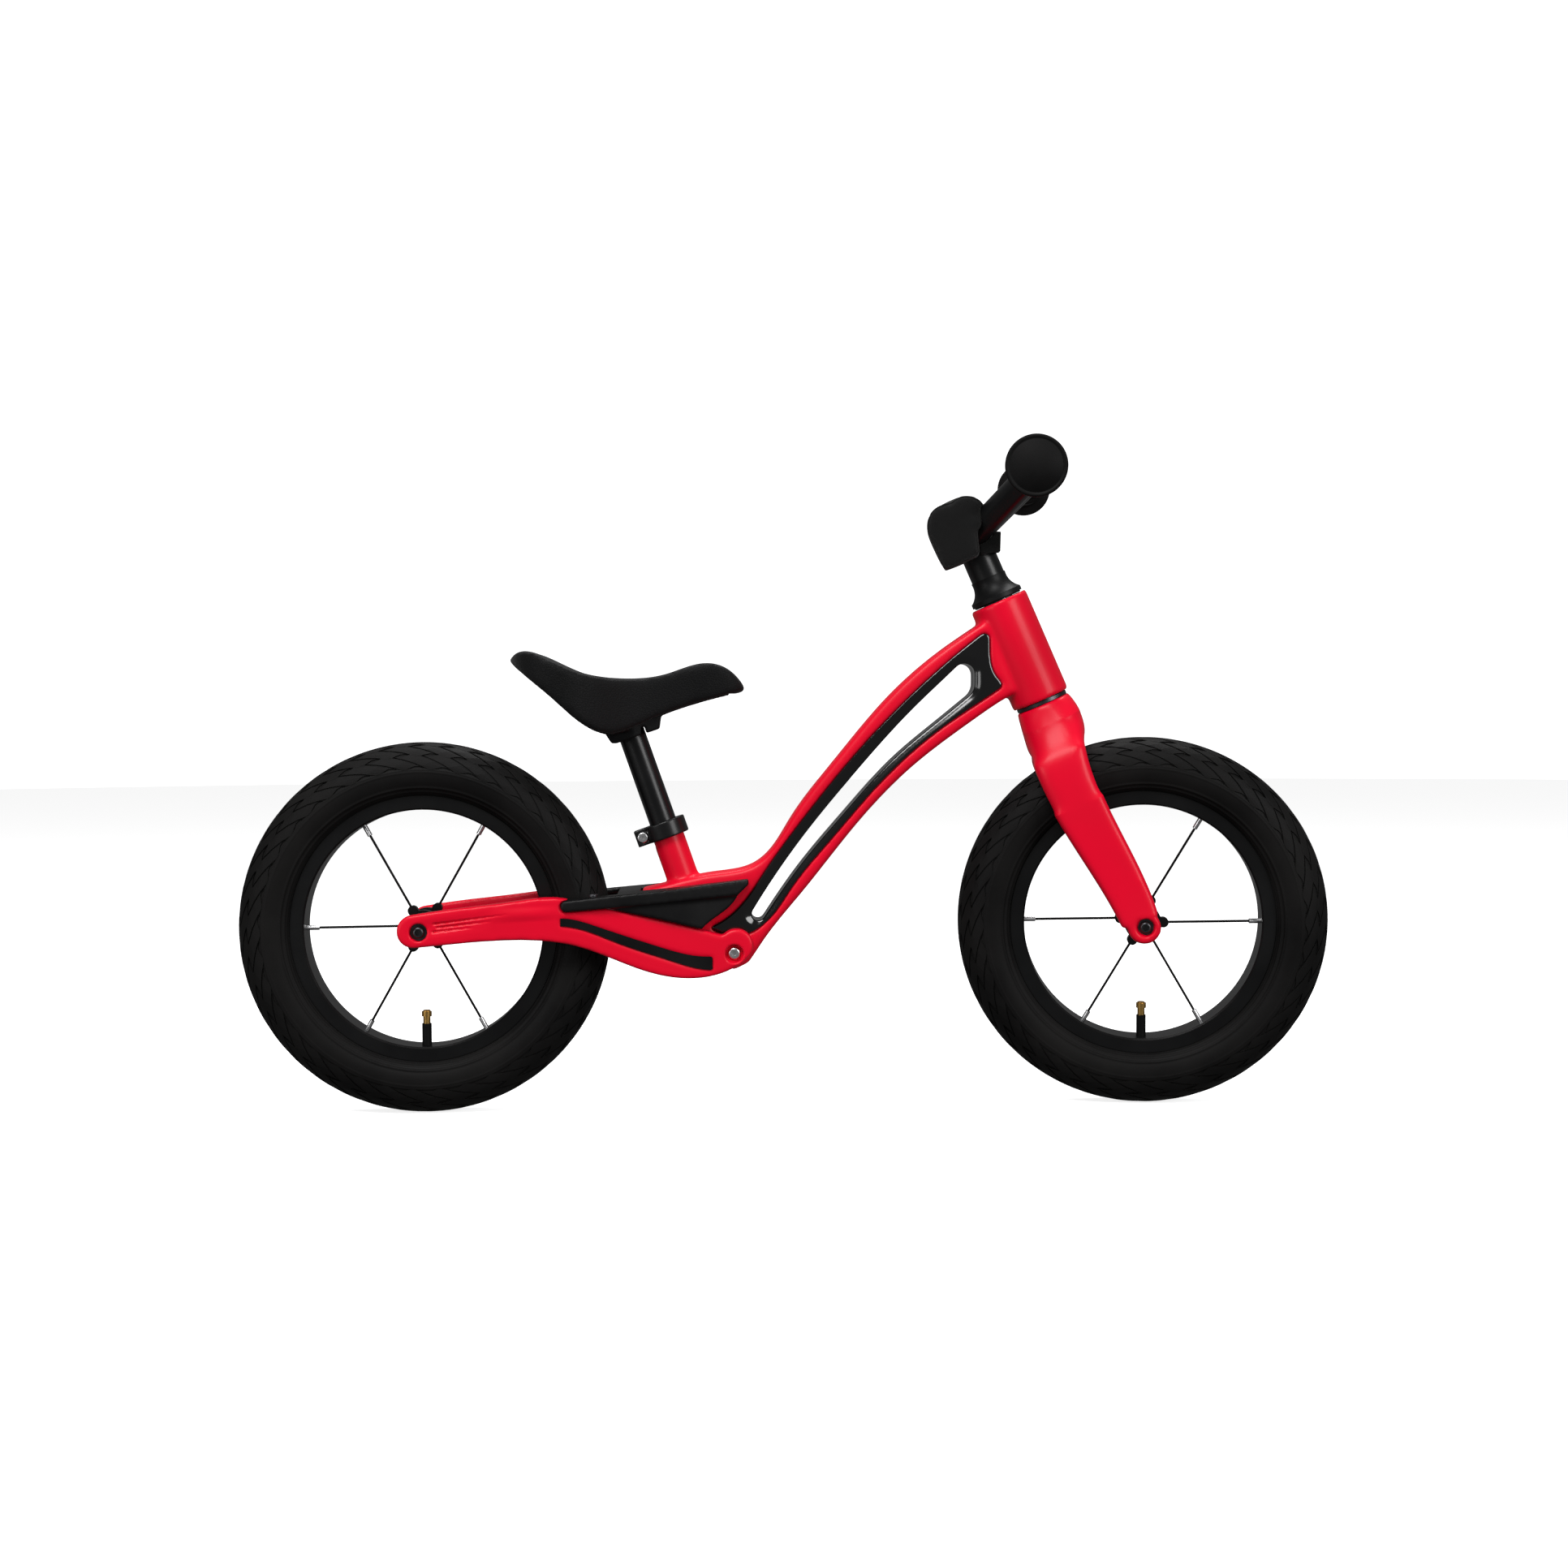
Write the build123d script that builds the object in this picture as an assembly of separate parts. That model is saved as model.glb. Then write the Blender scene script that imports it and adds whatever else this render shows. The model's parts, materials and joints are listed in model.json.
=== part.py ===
from build123d import *
from math import atan2, cos, degrees, radians, sin
import os

# Balance bike for a toddler, in millimetres.
# +X is forwards, +Y is the rider's left and +Z is up.
# The origin is where the rear tyre meets the floor, in the middle plane.

# ---- driving sizes -------------------------------------------------------
wheelbase = 588.9
tyre_diameter = 303.0
tyre_width = 50.0
bead_seat_diameter = 203.0
head_angle = 23.2  # lean of the steering axis from the vertical
fork_offset = 4.2  # axle ahead of the steering axis
rest_steer = -6.8  # the bars are stored turned a little to the right
seat_angle = 19.1  # lean of the seat tube from the vertical

# ---- wheel ---------------------------------------------------------------
rim_width = 30.0
rim_inner_radius = 96.65
flange_height = 6.5
rim_wall = 1.6
casing = 3.2
tube_wall = 1.2
spoke_count = 6
spoke_radius = 1.0
nipple_radius = 2.0
nipple_length = 12.0
lobe_radius = 4.1
lobe_circle = 16.9
hub_flange_half = 12.0  # middle of each hub flange from the mid-plane
hub_half = 19.0
hub_barrel_radius = 13.4
hub_bearing_radius = 11.0
hub_bearing_width = 6.0
axle_radius = 5.0
valve_radius = 3.9
valve_stub = 28.5
valve_tip_length = 11.0

# ---- clearances ----------------------------------------------------------
running = 0.05  # radial, shaft in bore across a joint
seat_gap = 0.3  # soft or moulded pieces on their neighbours
bolt_gap = 0.15  # radial, bolts in plain holes

# ---- steering ------------------------------------------------------------
head_radius = 24.1
head_low, head_high = 200.2, 288.6  # along the steering axis, from the axle
headset_radius = 19.0
headset_width = 7.0
steerer_radius = 12.7
steerer_wall = 2.6
sleeve_radius = 14.1
crown_top = 197.3
crown_radius = 22.4
fork_end_half = 48.0
front_hub_gap = 36.0  # axle plane to each fork end's inner face
bar_radius = 11.1
bar_wall = 2.0
bar_height = 345.0
grip_height = 370.0
grip_reach = 62.7
bar_half = 183.4
grip_length = 90.0
grip_radius = 15.5
grip_flange_radius = 23.3
pad_half = 42.0

# ---- frame ---------------------------------------------------------------
frame_half = 18.0
inlay_depth = 4.0
inlay_proud = 0.5
inlay_neck_corner = 4.5
inlay_foot_corner = 2.2
collar_wall = 2.0
seat_tube_radius = 13.2
post_radius = 11.1
post_wall = 2.0
seat_tube_foot = (210.4, 191.0)  # where its axis meets the shelf, in x and z
seat_tube_top = 47.6
clamp_low = 34.5
clamp_high = 48.0
post_low = -22.0
post_high = 124.0
stay_bolt_at = (252.2, 130.2)
stay_bolt_radius = 3.0
rear_hub_gap = 38.0  # mid-plane to each stay's inner face at the axle
stay_end_half = 50.0

tyre_radius = tyre_diameter / 2
bead_radius = bead_seat_diameter / 2
bars_turned = Rot(0, 0, rest_steer)

lean = radians(head_angle)
axis_up = Vector(-sin(lean), 0, cos(lean))
axis_forward = Vector(cos(lean), 0, sin(lean))
steer_origin = Vector(wheelbase, 0, tyre_radius) - axis_forward * fork_offset
steer_plane = Plane(origin=steer_origin, x_dir=axis_forward, z_dir=axis_up)
seat_lean = radians(seat_angle)
seat_plane = Plane(
    origin=(seat_tube_foot[0], 0, seat_tube_foot[1]),
    x_dir=(cos(seat_lean), 0, sin(seat_lean)),
    z_dir=(-sin(seat_lean), 0, cos(seat_lean)),
)


# ---- small helpers -------------------------------------------------------
def side_slab(face, low, high):
    """A face drawn in x and z, made solid from y = low to y = high."""
    return extrude(Plane.XZ.offset(-high) * face, high - low)


def ring(outer, inner, low, high):
    """A tube along Z."""
    body = Pos(0, 0, (low + high) / 2) * Cylinder(outer, high - low)
    return body - Pos(0, 0, (low + high) / 2) * Cylinder(inner, high - low + 2)


def rod(radius, low, high):
    return Pos(0, 0, (low + high) / 2) * Cylinder(radius, high - low)


def along_y(solid):
    """Turns a solid made along Z so that its +Z lies along +Y."""
    return Rot(-90, 0, 0) * solid


def steered(solid):
    """Places a solid drawn about the steering axis on the bike."""
    return steer_plane.location * bars_turned * solid


def headed(solid):
    return steer_plane.location * solid


def seated(solid):
    return seat_plane.location * solid


def both_sides(solid):
    return solid + mirror(solid, about=Plane.XZ)


def hex_socket(across_flats, depth):
    return extrude(RegularPolygon(across_flats / 3**0.5, 6), depth)


def button_bolt(shank, length, head, head_height, socket, socket_depth):
    """Head up, its underside at z = 0 and its shank below."""
    dome = Cylinder(head, head_height, align=(Align.CENTER, Align.CENTER, Align.MIN))
    dome = fillet(dome.edges().group_by(Axis.Z)[-1], head_height * 0.45)
    dome -= Pos(0, 0, head_height - socket_depth) * hex_socket(socket, socket_depth + 1)
    return dome + Cylinder(shank, length, align=(Align.CENTER, Align.CENTER, Align.MAX))


def write(name, shape):
    solids = shape.solids() if hasattr(shape, "solids") else shape
    body = solids[0] if len(solids) == 1 else Compound(children=list(solids))
    body.label = name
    export_step(body, f"parts/{name}.step")


# ---- wheel pieces, drawn about Y with the axle at the origin -------------
def wheel_turn(face):
    """Spins a face drawn with x across the wheel and y as the radius."""
    laid = Plane(origin=(0, 0, 0), x_dir=(0, 1, 0), z_dir=(1, 0, 0)) * face
    return revolve(laid, Axis.Y)


def rim_section():
    half = rim_width / 2
    flange_top = bead_radius + flange_height
    well = rim_inner_radius + 2.5
    points = [
        (-half, flange_top), (-half + rim_wall, flange_top), (-half + rim_wall, bead_radius),
        (-half + 6, bead_radius), (-half + 8, well), (half - 8, well), (half - 6, bead_radius),
        (half - rim_wall, bead_radius), (half - rim_wall, flange_top), (half, flange_top),
        (half, rim_inner_radius + 1.4), (half - 1.4, rim_inner_radius),
        (-half + 1.4, rim_inner_radius), (-half, rim_inner_radius + 1.4),
    ]
    return make_face(Polyline(*points, close=True))


def tyre_section():
    bead_half = rim_width / 2 - rim_wall - seat_gap
    bead = bead_radius + seat_gap
    flange_top = bead_radius + flange_height + 0.8
    half = tyre_width / 2
    middle = tyre_radius - half
    wall_foot = (half * sin(radians(135)), middle + half * cos(radians(135)))
    inner_top = (0, tyre_radius - casing - 1.5)
    inner_foot = (bead_half - 3.4, flange_top - 2.2)
    outside = ThreePointArc(wall_foot, (half, middle), (0, tyre_radius))
    crown = Line((0, tyre_radius), inner_top)
    inside = ThreePointArc(inner_top, (half - casing, middle), inner_foot)
    foot = Polyline(
        inner_foot, (bead_half - 3.8, bead), (bead_half, bead), (bead_half, flange_top), wall_foot,
    )
    half_face = make_face([outside, crown, inside, foot])
    return half_face + mirror(half_face, about=Plane.YZ)


def tube_section():
    radius = tyre_width / 2 - casing - 2.6
    centre = (bead_radius + tyre_radius) / 2 + 1.0
    return Pos(0, centre) * (Circle(radius) - Circle(radius - tube_wall))


def at_spoke(index, solid):
    """Points a solid drawn along +Z at one spoke's angle round the wheel."""
    return Rot(0, 360 / spoke_count * index, 0) * Rot(0, 90, 0) * solid


def spoke_side(index):
    return hub_flange_half if index % 2 else -hub_flange_half


def spoke_lean(index):
    """Tilt that takes a spoke from its hub flange to near the rim's middle."""
    reach = rim_inner_radius - lobe_circle
    return degrees(atan2(spoke_side(index) * 0.72, reach))


def spoke_line(index, low, high, radius, bore=0):
    """A rod, or a tube, along one spoke; low and high are measured from its hub end."""
    piece = rod(radius, low, high)
    if bore:
        piece = ring(radius, bore, low, high)
    placed = Pos(0, spoke_side(index), lobe_circle) * Rot(spoke_lean(index), 0, 0) * piece
    return at_spoke(index, placed)


spoke_reach = (rim_inner_radius - lobe_circle) / cos(radians(spoke_lean(1)))


def make_spokes():
    return [spoke_line(i, -1.5, spoke_reach - 1.5, spoke_radius) for i in range(spoke_count)]


def make_nipples():
    nipples = []
    for i in range(spoke_count):
        body = spoke_line(i, spoke_reach - nipple_length + 2.5, spoke_reach + 3.0, nipple_radius)
        head = spoke_line(i, spoke_reach + 3.0, spoke_reach + 5.0, nipple_radius + 1.0)
        bore = spoke_line(i, 0, spoke_reach - 1.2, spoke_radius + running)
        nipples.append(body + head - bore)
    return nipples


def make_hub():
    barrel = rod(hub_barrel_radius, -hub_half, hub_half)
    for side in (-1, 1):
        barrel += rod(hub_barrel_radius + 1.6, side * hub_flange_half - 3, side * hub_flange_half + 3)
    barrel = along_y(barrel)
    for i in range(spoke_count):
        lobe = Pos(0, spoke_side(i), lobe_circle) * along_y(rod(lobe_radius, -3.4, 3.4))
        web = Pos(0, spoke_side(i), lobe_circle / 2) * Box(2 * lobe_radius, 6, lobe_circle)
        barrel += at_spoke(i, lobe + web)
    seat = along_y(rod(hub_bearing_radius, hub_half - hub_bearing_width, hub_half + 1))
    barrel -= both_sides(seat)
    barrel -= along_y(rod(axle_radius + 1.5, -hub_half, hub_half))
    for i in range(spoke_count):
        barrel -= spoke_line(i, -1.5, 20, spoke_radius + running)
    return barrel


def make_hub_bearings():
    low = hub_half - hub_bearing_width
    bearing = ring(hub_bearing_radius, axle_radius + running, low, hub_half)
    groove = ring(hub_bearing_radius - 2.2, axle_radius + 2.0, hub_half - 0.5, hub_half + 0.5)
    bearing -= groove
    return [along_y(bearing), mirror(along_y(bearing), about=Plane.XZ)]


def valve_down(piece):
    """Turns a rod drawn along +Z so that it points from the rim's foot to the hub."""
    return Pos(0, 0, -rim_inner_radius) * piece


def make_wheel():
    """Pieces of one wheel by name, with the axle along Y through the origin."""
    rim = wheel_turn(rim_section())
    for i in range(spoke_count):
        rim -= spoke_line(i, spoke_reach - 6, spoke_reach + 12, nipple_radius + running)
    rim -= valve_down(rod(valve_radius + seat_gap, -12, 4))
    tube = wheel_turn(tube_section())
    tube_inner = (bead_radius + tyre_radius) / 2 + 1.0 - (tyre_width / 2 - casing - 2.6)
    stem_root = rim_inner_radius - tube_inner - 0.4
    tube -= valve_down(rod(1.2, stem_root - 4, stem_root + 2))
    stem = valve_down(rod(valve_radius, stem_root + 0.1, valve_stub - valve_tip_length))
    stem = stem - valve_down(rod(1.2, stem_root - 1, valve_stub))
    tip = valve_down(rod(3.0, valve_stub - valve_tip_length, valve_stub))
    tip += valve_down(rod(valve_radius + 0.2, valve_stub - 5, valve_stub - 1))
    tip -= valve_down(rod(1.2, stem_root - 1, valve_stub + 1))
    return {
        "tyre": wheel_turn(tyre_section()),
        "inner_tube": tube,
        "rim": rim,
        "spokes": Compound(children=make_spokes()),
        "spoke_nipples": Compound(children=make_nipples()),
        "hub": make_hub(),
        "hub_bearings": Compound(children=make_hub_bearings()),
        "valve_stem": stem,
        "valve_tip": tip,
    }


# ---- axles ---------------------------------------------------------------
axle_bolt_shank = 3.0
axle_bolt_head = 4.7
axle_bolt_head_height = 4.6
axle_washer_radius = 6.8
axle_washer_thick = 1.5
axle_counterbore = 7.1
axle_thread_depth = 16.0


def make_axle(gap):
    axle = rod(axle_radius, -gap, gap)
    for side in (-1, 1):
        axle -= Pos(0, 0, side * (gap - axle_thread_depth / 2)) * Cylinder(
            axle_bolt_shank + running, axle_thread_depth + 0.02
        )
    return along_y(axle)


def axle_seat(outer):
    """Height of the washer's seat from the mid-plane."""
    return outer - axle_bolt_head_height - axle_washer_thick - 0.6


def make_axle_bolts(gap, outer):
    seat = axle_seat(outer)
    length = seat + axle_washer_thick - gap + axle_thread_depth - 2
    bolt = button_bolt(axle_bolt_shank, length, axle_bolt_head, axle_bolt_head_height, 5.0, 3.2)
    bolt = along_y(Pos(0, 0, seat + axle_washer_thick) * bolt)
    return Compound(children=[bolt, mirror(bolt, about=Plane.XZ)])


def make_axle_washers(outer):
    seat = axle_seat(outer)
    washer = along_y(ring(axle_washer_radius, axle_bolt_shank + bolt_gap, seat, seat + axle_washer_thick))
    return Compound(children=[washer, mirror(washer, about=Plane.XZ)])


def make_axle_spacers(gap):
    spacer = along_y(ring(axle_radius + 2.4, axle_radius, hub_half + seat_gap, gap))
    return Compound(children=[spacer, mirror(spacer, about=Plane.XZ)])


def axle_bolt_hole(outer):
    """What a stay or fork end loses for its axle bolt, on the +Y side."""
    seat = axle_seat(outer)
    hole = rod(axle_bolt_shank + bolt_gap, 0, outer + 5) + rod(axle_counterbore, seat, outer + 5)
    return along_y(hole)


# ---- frame ---------------------------------------------------------------
def shifted(points, distance):
    """Points moved sideways, to the left of their direction of travel."""
    moved = []
    for i, (x, z) in enumerate(points):
        before, after = points[max(i - 1, 0)], points[min(i + 1, len(points) - 1)]
        run = Vector(after[0] - before[0], after[1] - before[1]).normalized()
        moved.append((x - run.Y * distance, z + run.X * distance))
    return moved


slot_upper = [(267.5, 163.5), (313.4, 229.5), (349.3, 272.5), (402.0, 329.7), (434.8, 360.6)]
slot_lower = [(427.2, 323.0), (385.0, 288.3), (343.0, 243.3), (309.3, 204.0), (276.5, 158.0)]
slot_head = 450.0


def slot_face(grow=0.0):
    """The long opening in the down tube; grow widens it all round."""
    upper_points = shifted(slot_upper, grow)
    lower_points = shifted(slot_lower, grow)
    upper = Spline(*upper_points, tangents=[(0.52, 0.85), (0.72, 0.69)])
    lower = Spline(*lower_points, tangents=[(-0.78, -0.63), (-0.55, -0.84)])
    foot_mid = (269.3 - 0.55 * grow, 156.3 - 0.84 * grow)
    foot = ThreePointArc(lower_points[-1], foot_mid, upper_points[0])
    end = slot_head + grow
    top = (end, upper_points[-1][1] + (end - upper_points[-1][0]) * 0.69 / 0.72)
    low = (end, lower_points[0][1] + (end - lower_points[0][0]) * 0.63 / 0.78)
    face = make_face([upper, lower, foot, Polyline(upper_points[-1], top, low, lower_points[0])])
    for corner, radius in ((top, 8.6), (low, 13.0)):
        at = [v for v in face.vertices() if abs(v.X - corner[0]) + abs(v.Y - corner[1]) < 0.1]
        face = fillet(at, radius + grow)
    return face


def inlay_face():
    """Outer outline of the gloss black faceplate round the opening."""
    upper = Spline(
        (231.5, 150.5), (254.4, 165.0), (277.7, 196.0), (311.4, 241.5), (347.3, 285.5),
        (399.9, 340.5), (462.0, 392.5),
    )
    neck = Spline(
        (462.0, 392.5), (462.6, 371.0), (465.5, 357.0), (474.5, 346.0),
        tangents=[(0.10, -1.0), (0.75, -0.65)],
    )
    lower = Spline(
        (474.5, 346.0), (427.2, 314.5), (374.6, 269.5), (332.4, 222.0), (298.7, 181.0),
        (273.3, 150.0), (256.0, 143.4), (231.5, 150.5),
        tangents=[(-0.82, -0.57), (-0.85, 0.55)],
    )
    face = make_face([upper, neck, lower])
    at_neck = face.vertices().filter_by(lambda corner: corner.X > slot_head)
    face = fillet(at_neck, inlay_neck_corner)
    return fillet([v for v in face.vertices() if v.X < slot_upper[0][0]], inlay_foot_corner)


def frame_side_face():
    """Side outline of the casting, from the head tube down to the stay bolt."""
    upper = Spline(
        (462.0, 401.0), (427.0, 377.5), (380.8, 338.0), (334.4, 284.0), (298.5, 237.0),
        (279.6, 209.5), (268.0, 201.0), (237.0, 194.6), (177.5, 181.6),
        tangents=[(-0.83, -0.56), (-1, -0.22)],
    )
    lower = Spline(
        (486.0, 340.5), (450.2, 318.4), (399.7, 280.7), (351.3, 231.5), (309.0, 179.2),
        (276.0, 138.5), (264.0, 121.0),
        tangents=[(-0.90, -0.42), (-0.6, -0.8)],
    )
    belly = Polyline(
        (264.0, 121.0), (252.0, 115.5), (238.0, 121.0), (222.0, 142.0),
        (204.0, 162.0), (177.5, 176.0), (177.5, 181.6),
    )
    nose = Line((462.0, 401.0), (486.0, 340.5))
    return make_face([upper, lower, belly, nose])


def bolt_cross(radius, low, high):
    """A rod along Y through the stay bolt's place."""
    return Pos(stay_bolt_at[0], 0, stay_bolt_at[1]) * along_y(rod(radius, low, high))


def make_main_frame():
    web = side_slab(frame_side_face(), -frame_half, frame_half)
    faces = web.faces().group_by(Axis.Y)
    rims = faces[0].edges() + faces[-1].edges()
    web = fillet([e for e in rims if e.length > 40], 5.0)
    head = headed(rod(head_radius, head_low, head_high))
    head = fillet(head.edges(), 1.0)
    body = web + head + seated(rod(seat_tube_radius, -40, seat_tube_top))
    body -= side_slab(slot_face(collar_wall), -head_radius - 5, head_radius + 5)
    pocket = side_slab(inlay_face(), frame_half - inlay_depth, head_radius + 5)
    body -= both_sides(pocket)
    body -= headed(rod(headset_radius - 3, head_low - 5, head_high + 5))
    body -= headed(rod(headset_radius, head_low - 5, head_low + headset_width))
    body -= headed(rod(headset_radius, head_high - headset_width, head_high + 5))
    body -= seated(rod(post_radius + running, -90, seat_tube_top + 5))
    saw = Pos(-seat_tube_radius, 0, seat_tube_top - 9) * Box(seat_tube_radius, 2.0, 20)
    body -= seated(saw)
    body += bolt_cross(stay_boss_radius, -stay_near, stay_near)
    body -= bolt_cross(barrel_nut_radius + bolt_gap, -60, 60)
    return body


def half_slab(face, side, near, far):
    """A slab on one side of the bike, near and far from the mid-plane."""
    return side_slab(face, *sorted((side * near, side * far)))


def inlay_solid(side):
    """Faceplate and collar of one side."""
    opening = slot_face()
    plate = half_slab(inlay_face(), side, frame_half - inlay_depth, frame_half + inlay_proud)
    collar = half_slab(slot_face(collar_wall), side, 0, frame_half - inlay_depth / 2)
    body = plate + collar
    return body - side_slab(opening, -frame_half - 20, frame_half + 20)


# ---- rear stays ----------------------------------------------------------
stay_top = [
    (-4.0, 165.5), (30.0, 170.2), (75.0, 175.2), (114.0, 177.3), (127.0, 174.5),
    (150.0, 169.0), (200.0, 157.2), (243.0, 145.0),
]


def under_stay_top(gap):
    """Everything below a stay's top edge, raised by a gap."""
    line = shifted(stay_top, gap)
    edge = Spline(*line, tangents=[(1, 0.17), (1, -0.32)])
    return make_face([edge, Polyline(line[-1], (line[-1][0], 100.0), (line[0][0], 100.0), line[0])])


def stay_side_face():
    """Side outline of a stay, without the footrest's notch."""
    top = Spline(*stay_top, tangents=[(1, 0.17), (1, -0.32)])
    eye = ThreePointArc((243.0, 145.0), (267.5, 138.0), (262.0, 125.5))
    under = Spline(
        (262.0, 125.5), (243.0, 114.6), (218.0, 110.5), (178.0, 118.2), (126.0, 138.6),
        (78.0, 144.2), (36.0, 142.4), (-2.0, 139.0),
    )
    nose = ThreePointArc((-2.0, 139.0), (-17.4, 153.5), (-4.0, 165.5))
    return make_face([top, eye, under, nose])


stay_near = frame_half + inlay_proud + seat_gap  # inner face beside the casting
stay_outer = [
    (-30.0, stay_end_half), (22.0, stay_end_half), (110.0, 46.6), (160.0, 43.6),
    (215.0, 35.5), (285.0, 32.0),
]


def stay_outer_line(shift):
    """Plan line of the +Y stay's outer face, moved outwards by shift."""
    return Spline(*[(x, y + shift) for x, y in stay_outer], tangents=[(1, 0), (1, 0)])


def stay_plan_face():
    """Plan outline of the +Y stay."""
    outer = stay_outer_line(0)
    inner = Spline(
        (232.0, stay_near), (180.0, 25.8), (140.0, 30.4), (105.0, 30.8), (60.0, 34.4),
        (22.0, rear_hub_gap),
        tangents=[(-1, 0), (-1, 0)],
    )
    front = Polyline(stay_outer[-1], (285.0, stay_near), (232.0, stay_near))
    back = Polyline((22.0, rear_hub_gap), (-30.0, rear_hub_gap), stay_outer[0])
    return make_face([outer, inner, front, back])


def stay_skin_face(depth, proud):
    """Plan outline of a thin layer on the outer face of the +Y stay."""
    back_x, back_y = stay_outer[0]
    front_x, front_y = stay_outer[-1]
    front = Line((front_x, front_y - depth), (front_x, front_y + proud))
    back = Line((back_x, back_y - depth), (back_x, back_y + proud))
    return make_face([stay_outer_line(-depth), stay_outer_line(proud), front, back])


def grip_face():
    """Outline of the rubber strip on a stay."""
    upper = Spline(
        (113.0, 161.5), (122.0, 160.6), (142.0, 154.6), (191.5, 137.2), (216.0, 130.0), (234.5, 128.3),
    )
    lower = Spline(
        (234.5, 117.4), (228.0, 118.0), (200.0, 126.2), (159.0, 141.0), (122.0, 154.3), (113.0, 155.3),
    )
    front = Line((234.5, 128.3), (234.5, 117.4))
    back = Line((113.0, 155.3), (113.0, 161.5))
    face = make_face([upper, front, lower, back])
    return fillet(face.vertices().sort_by(Axis.X)[-2:], 1.5)


def groove_face(start, end, wide):
    """A tapered groove, drawn as a thin wedge."""
    run = Vector(*end) - Vector(*start)
    square = Vector(-run.Y, run.X).normalized() * wide / 2
    a, b = Vector(*start), Vector(*end)
    points = [a + square, b, a - square]
    return make_face(Polyline(*[(p.X, p.Y) for p in points], close=True))


grooves = [
    ((12.3, 158.0), (73.0, 164.6)),
    ((14.7, 155.4), (59.5, 159.6)),
    ((11.0, 151.8), (43.0, 154.8)),
]
groove_width = 1.8
grip_depth = 2.0
grip_proud = 0.5
groove_depth = 0.6
barrel_nut_radius = 4.0
stay_boss_radius = 10.0
stay_head_radius = 4.8
stay_counterbore = 7.4
stay_bolt_seat = 27.0
stay_bolt_length = 38.0


def tall(face):
    """A plan face made solid over the height of the stays."""
    return Pos(0, 0, 90) * extrude(face, 120)


def make_stay():
    blank = side_slab(stay_side_face(), 0, 70) & tall(stay_plan_face())
    blank -= side_slab(grip_face(), 0, 70) & tall(stay_skin_face(grip_depth, 20))
    for start, end in grooves:
        cut = side_slab(groove_face(start, end, groove_width), 0, 70)
        blank -= cut & tall(stay_skin_face(groove_depth, 20))
    blank -= side_slab(offset(strip_face(), seat_gap), 0, 70)
    blank -= Pos(0, 0, tyre_radius) * axle_bolt_hole(stay_end_half)
    blank -= bolt_cross(barrel_nut_radius + bolt_gap, 0, 70)
    blank -= bolt_cross(stay_counterbore, stay_bolt_seat, 70)
    blank -= Pos(footrest_screw_x, footrest_screw_y, 170) * rod(footrest_screw_radius, -13, 10)
    return blank


def make_grip_strip():
    return side_slab(grip_face(), 0, 70) & tall(stay_skin_face(grip_depth, grip_proud))


def make_stay_bolt():
    bolt = button_bolt(stay_bolt_radius, stay_bolt_length, stay_head_radius, 3.2, 4.0, 2.2)
    placed = along_y(Pos(0, 0, stay_bolt_seat) * bolt)
    return Pos(stay_bolt_at[0], 0, stay_bolt_at[1]) * mirror(placed, about=Plane.XZ)


def make_stay_nut():
    """Headed barrel nut that takes the stay bolt from the other side."""
    nut = button_bolt(barrel_nut_radius, 2 * stay_bolt_seat - 24.0, stay_head_radius, 3.2, 4.0, 2.2)
    nut -= rod(stay_bolt_radius + running, -60, -8)
    return Pos(stay_bolt_at[0], 0, stay_bolt_at[1]) * along_y(Pos(0, 0, stay_bolt_seat) * nut)


# ---- footrest ------------------------------------------------------------
def strip_face():
    """Side outline of the footrest's outer band."""
    top = Polyline((117.6, 175.5), (150.0, 178.9), (200.0, 183.3), (264.0, 190.2))
    end = Polyline((264.0, 190.2), (264.0, 185.8), (255.2, 177.4))
    low = Line((255.2, 177.4), (117.6, 166.7))
    nose = ThreePointArc((117.6, 166.7), (113.2, 171.1), (117.6, 175.5))
    return make_face([top, end, low, nose])


def panel_face():
    """Side outline of the recessed panel between the band and the stay."""
    top = Line((132.0, 168.5), (255.6, 178.0))
    rear = Line((132.0, 168.5), (132.0, 160.0))
    low = Line((132.0, 160.0), (224.0, 148.0))
    front = Spline((224.0, 148.0), (232.0, 156.0), (246.0, 166.0), (255.6, 178.0))
    return make_face([top, rear, low, front])


def footrest_plan(inset, inner):
    """Plan outline of the +Y half of the footrest, from y = inner outwards."""
    outer = Spline(
        (105.0, 49.5 - inset), (150.0, 49.5 - inset), (205.0, 44.0 - inset), (268.0, 30.0 - inset),
        tangents=[(1, 0), (1, -0.2)],
    )
    sides = Polyline((268.0, 30.0 - inset), (268.0, inner), (105.0, inner), (105.0, 49.5 - inset))
    return make_face([outer, sides])


deck_thick = 4.0
band_thick = 4.0
panel_inset = 3.0
panel_thick = 3.0
tyre_side_gap = 8.0
tyre_front_gap = 8.0
footrest_screw_x = 139.0
footrest_screw_y = 38.5
footrest_screw_radius = 2.0


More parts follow.
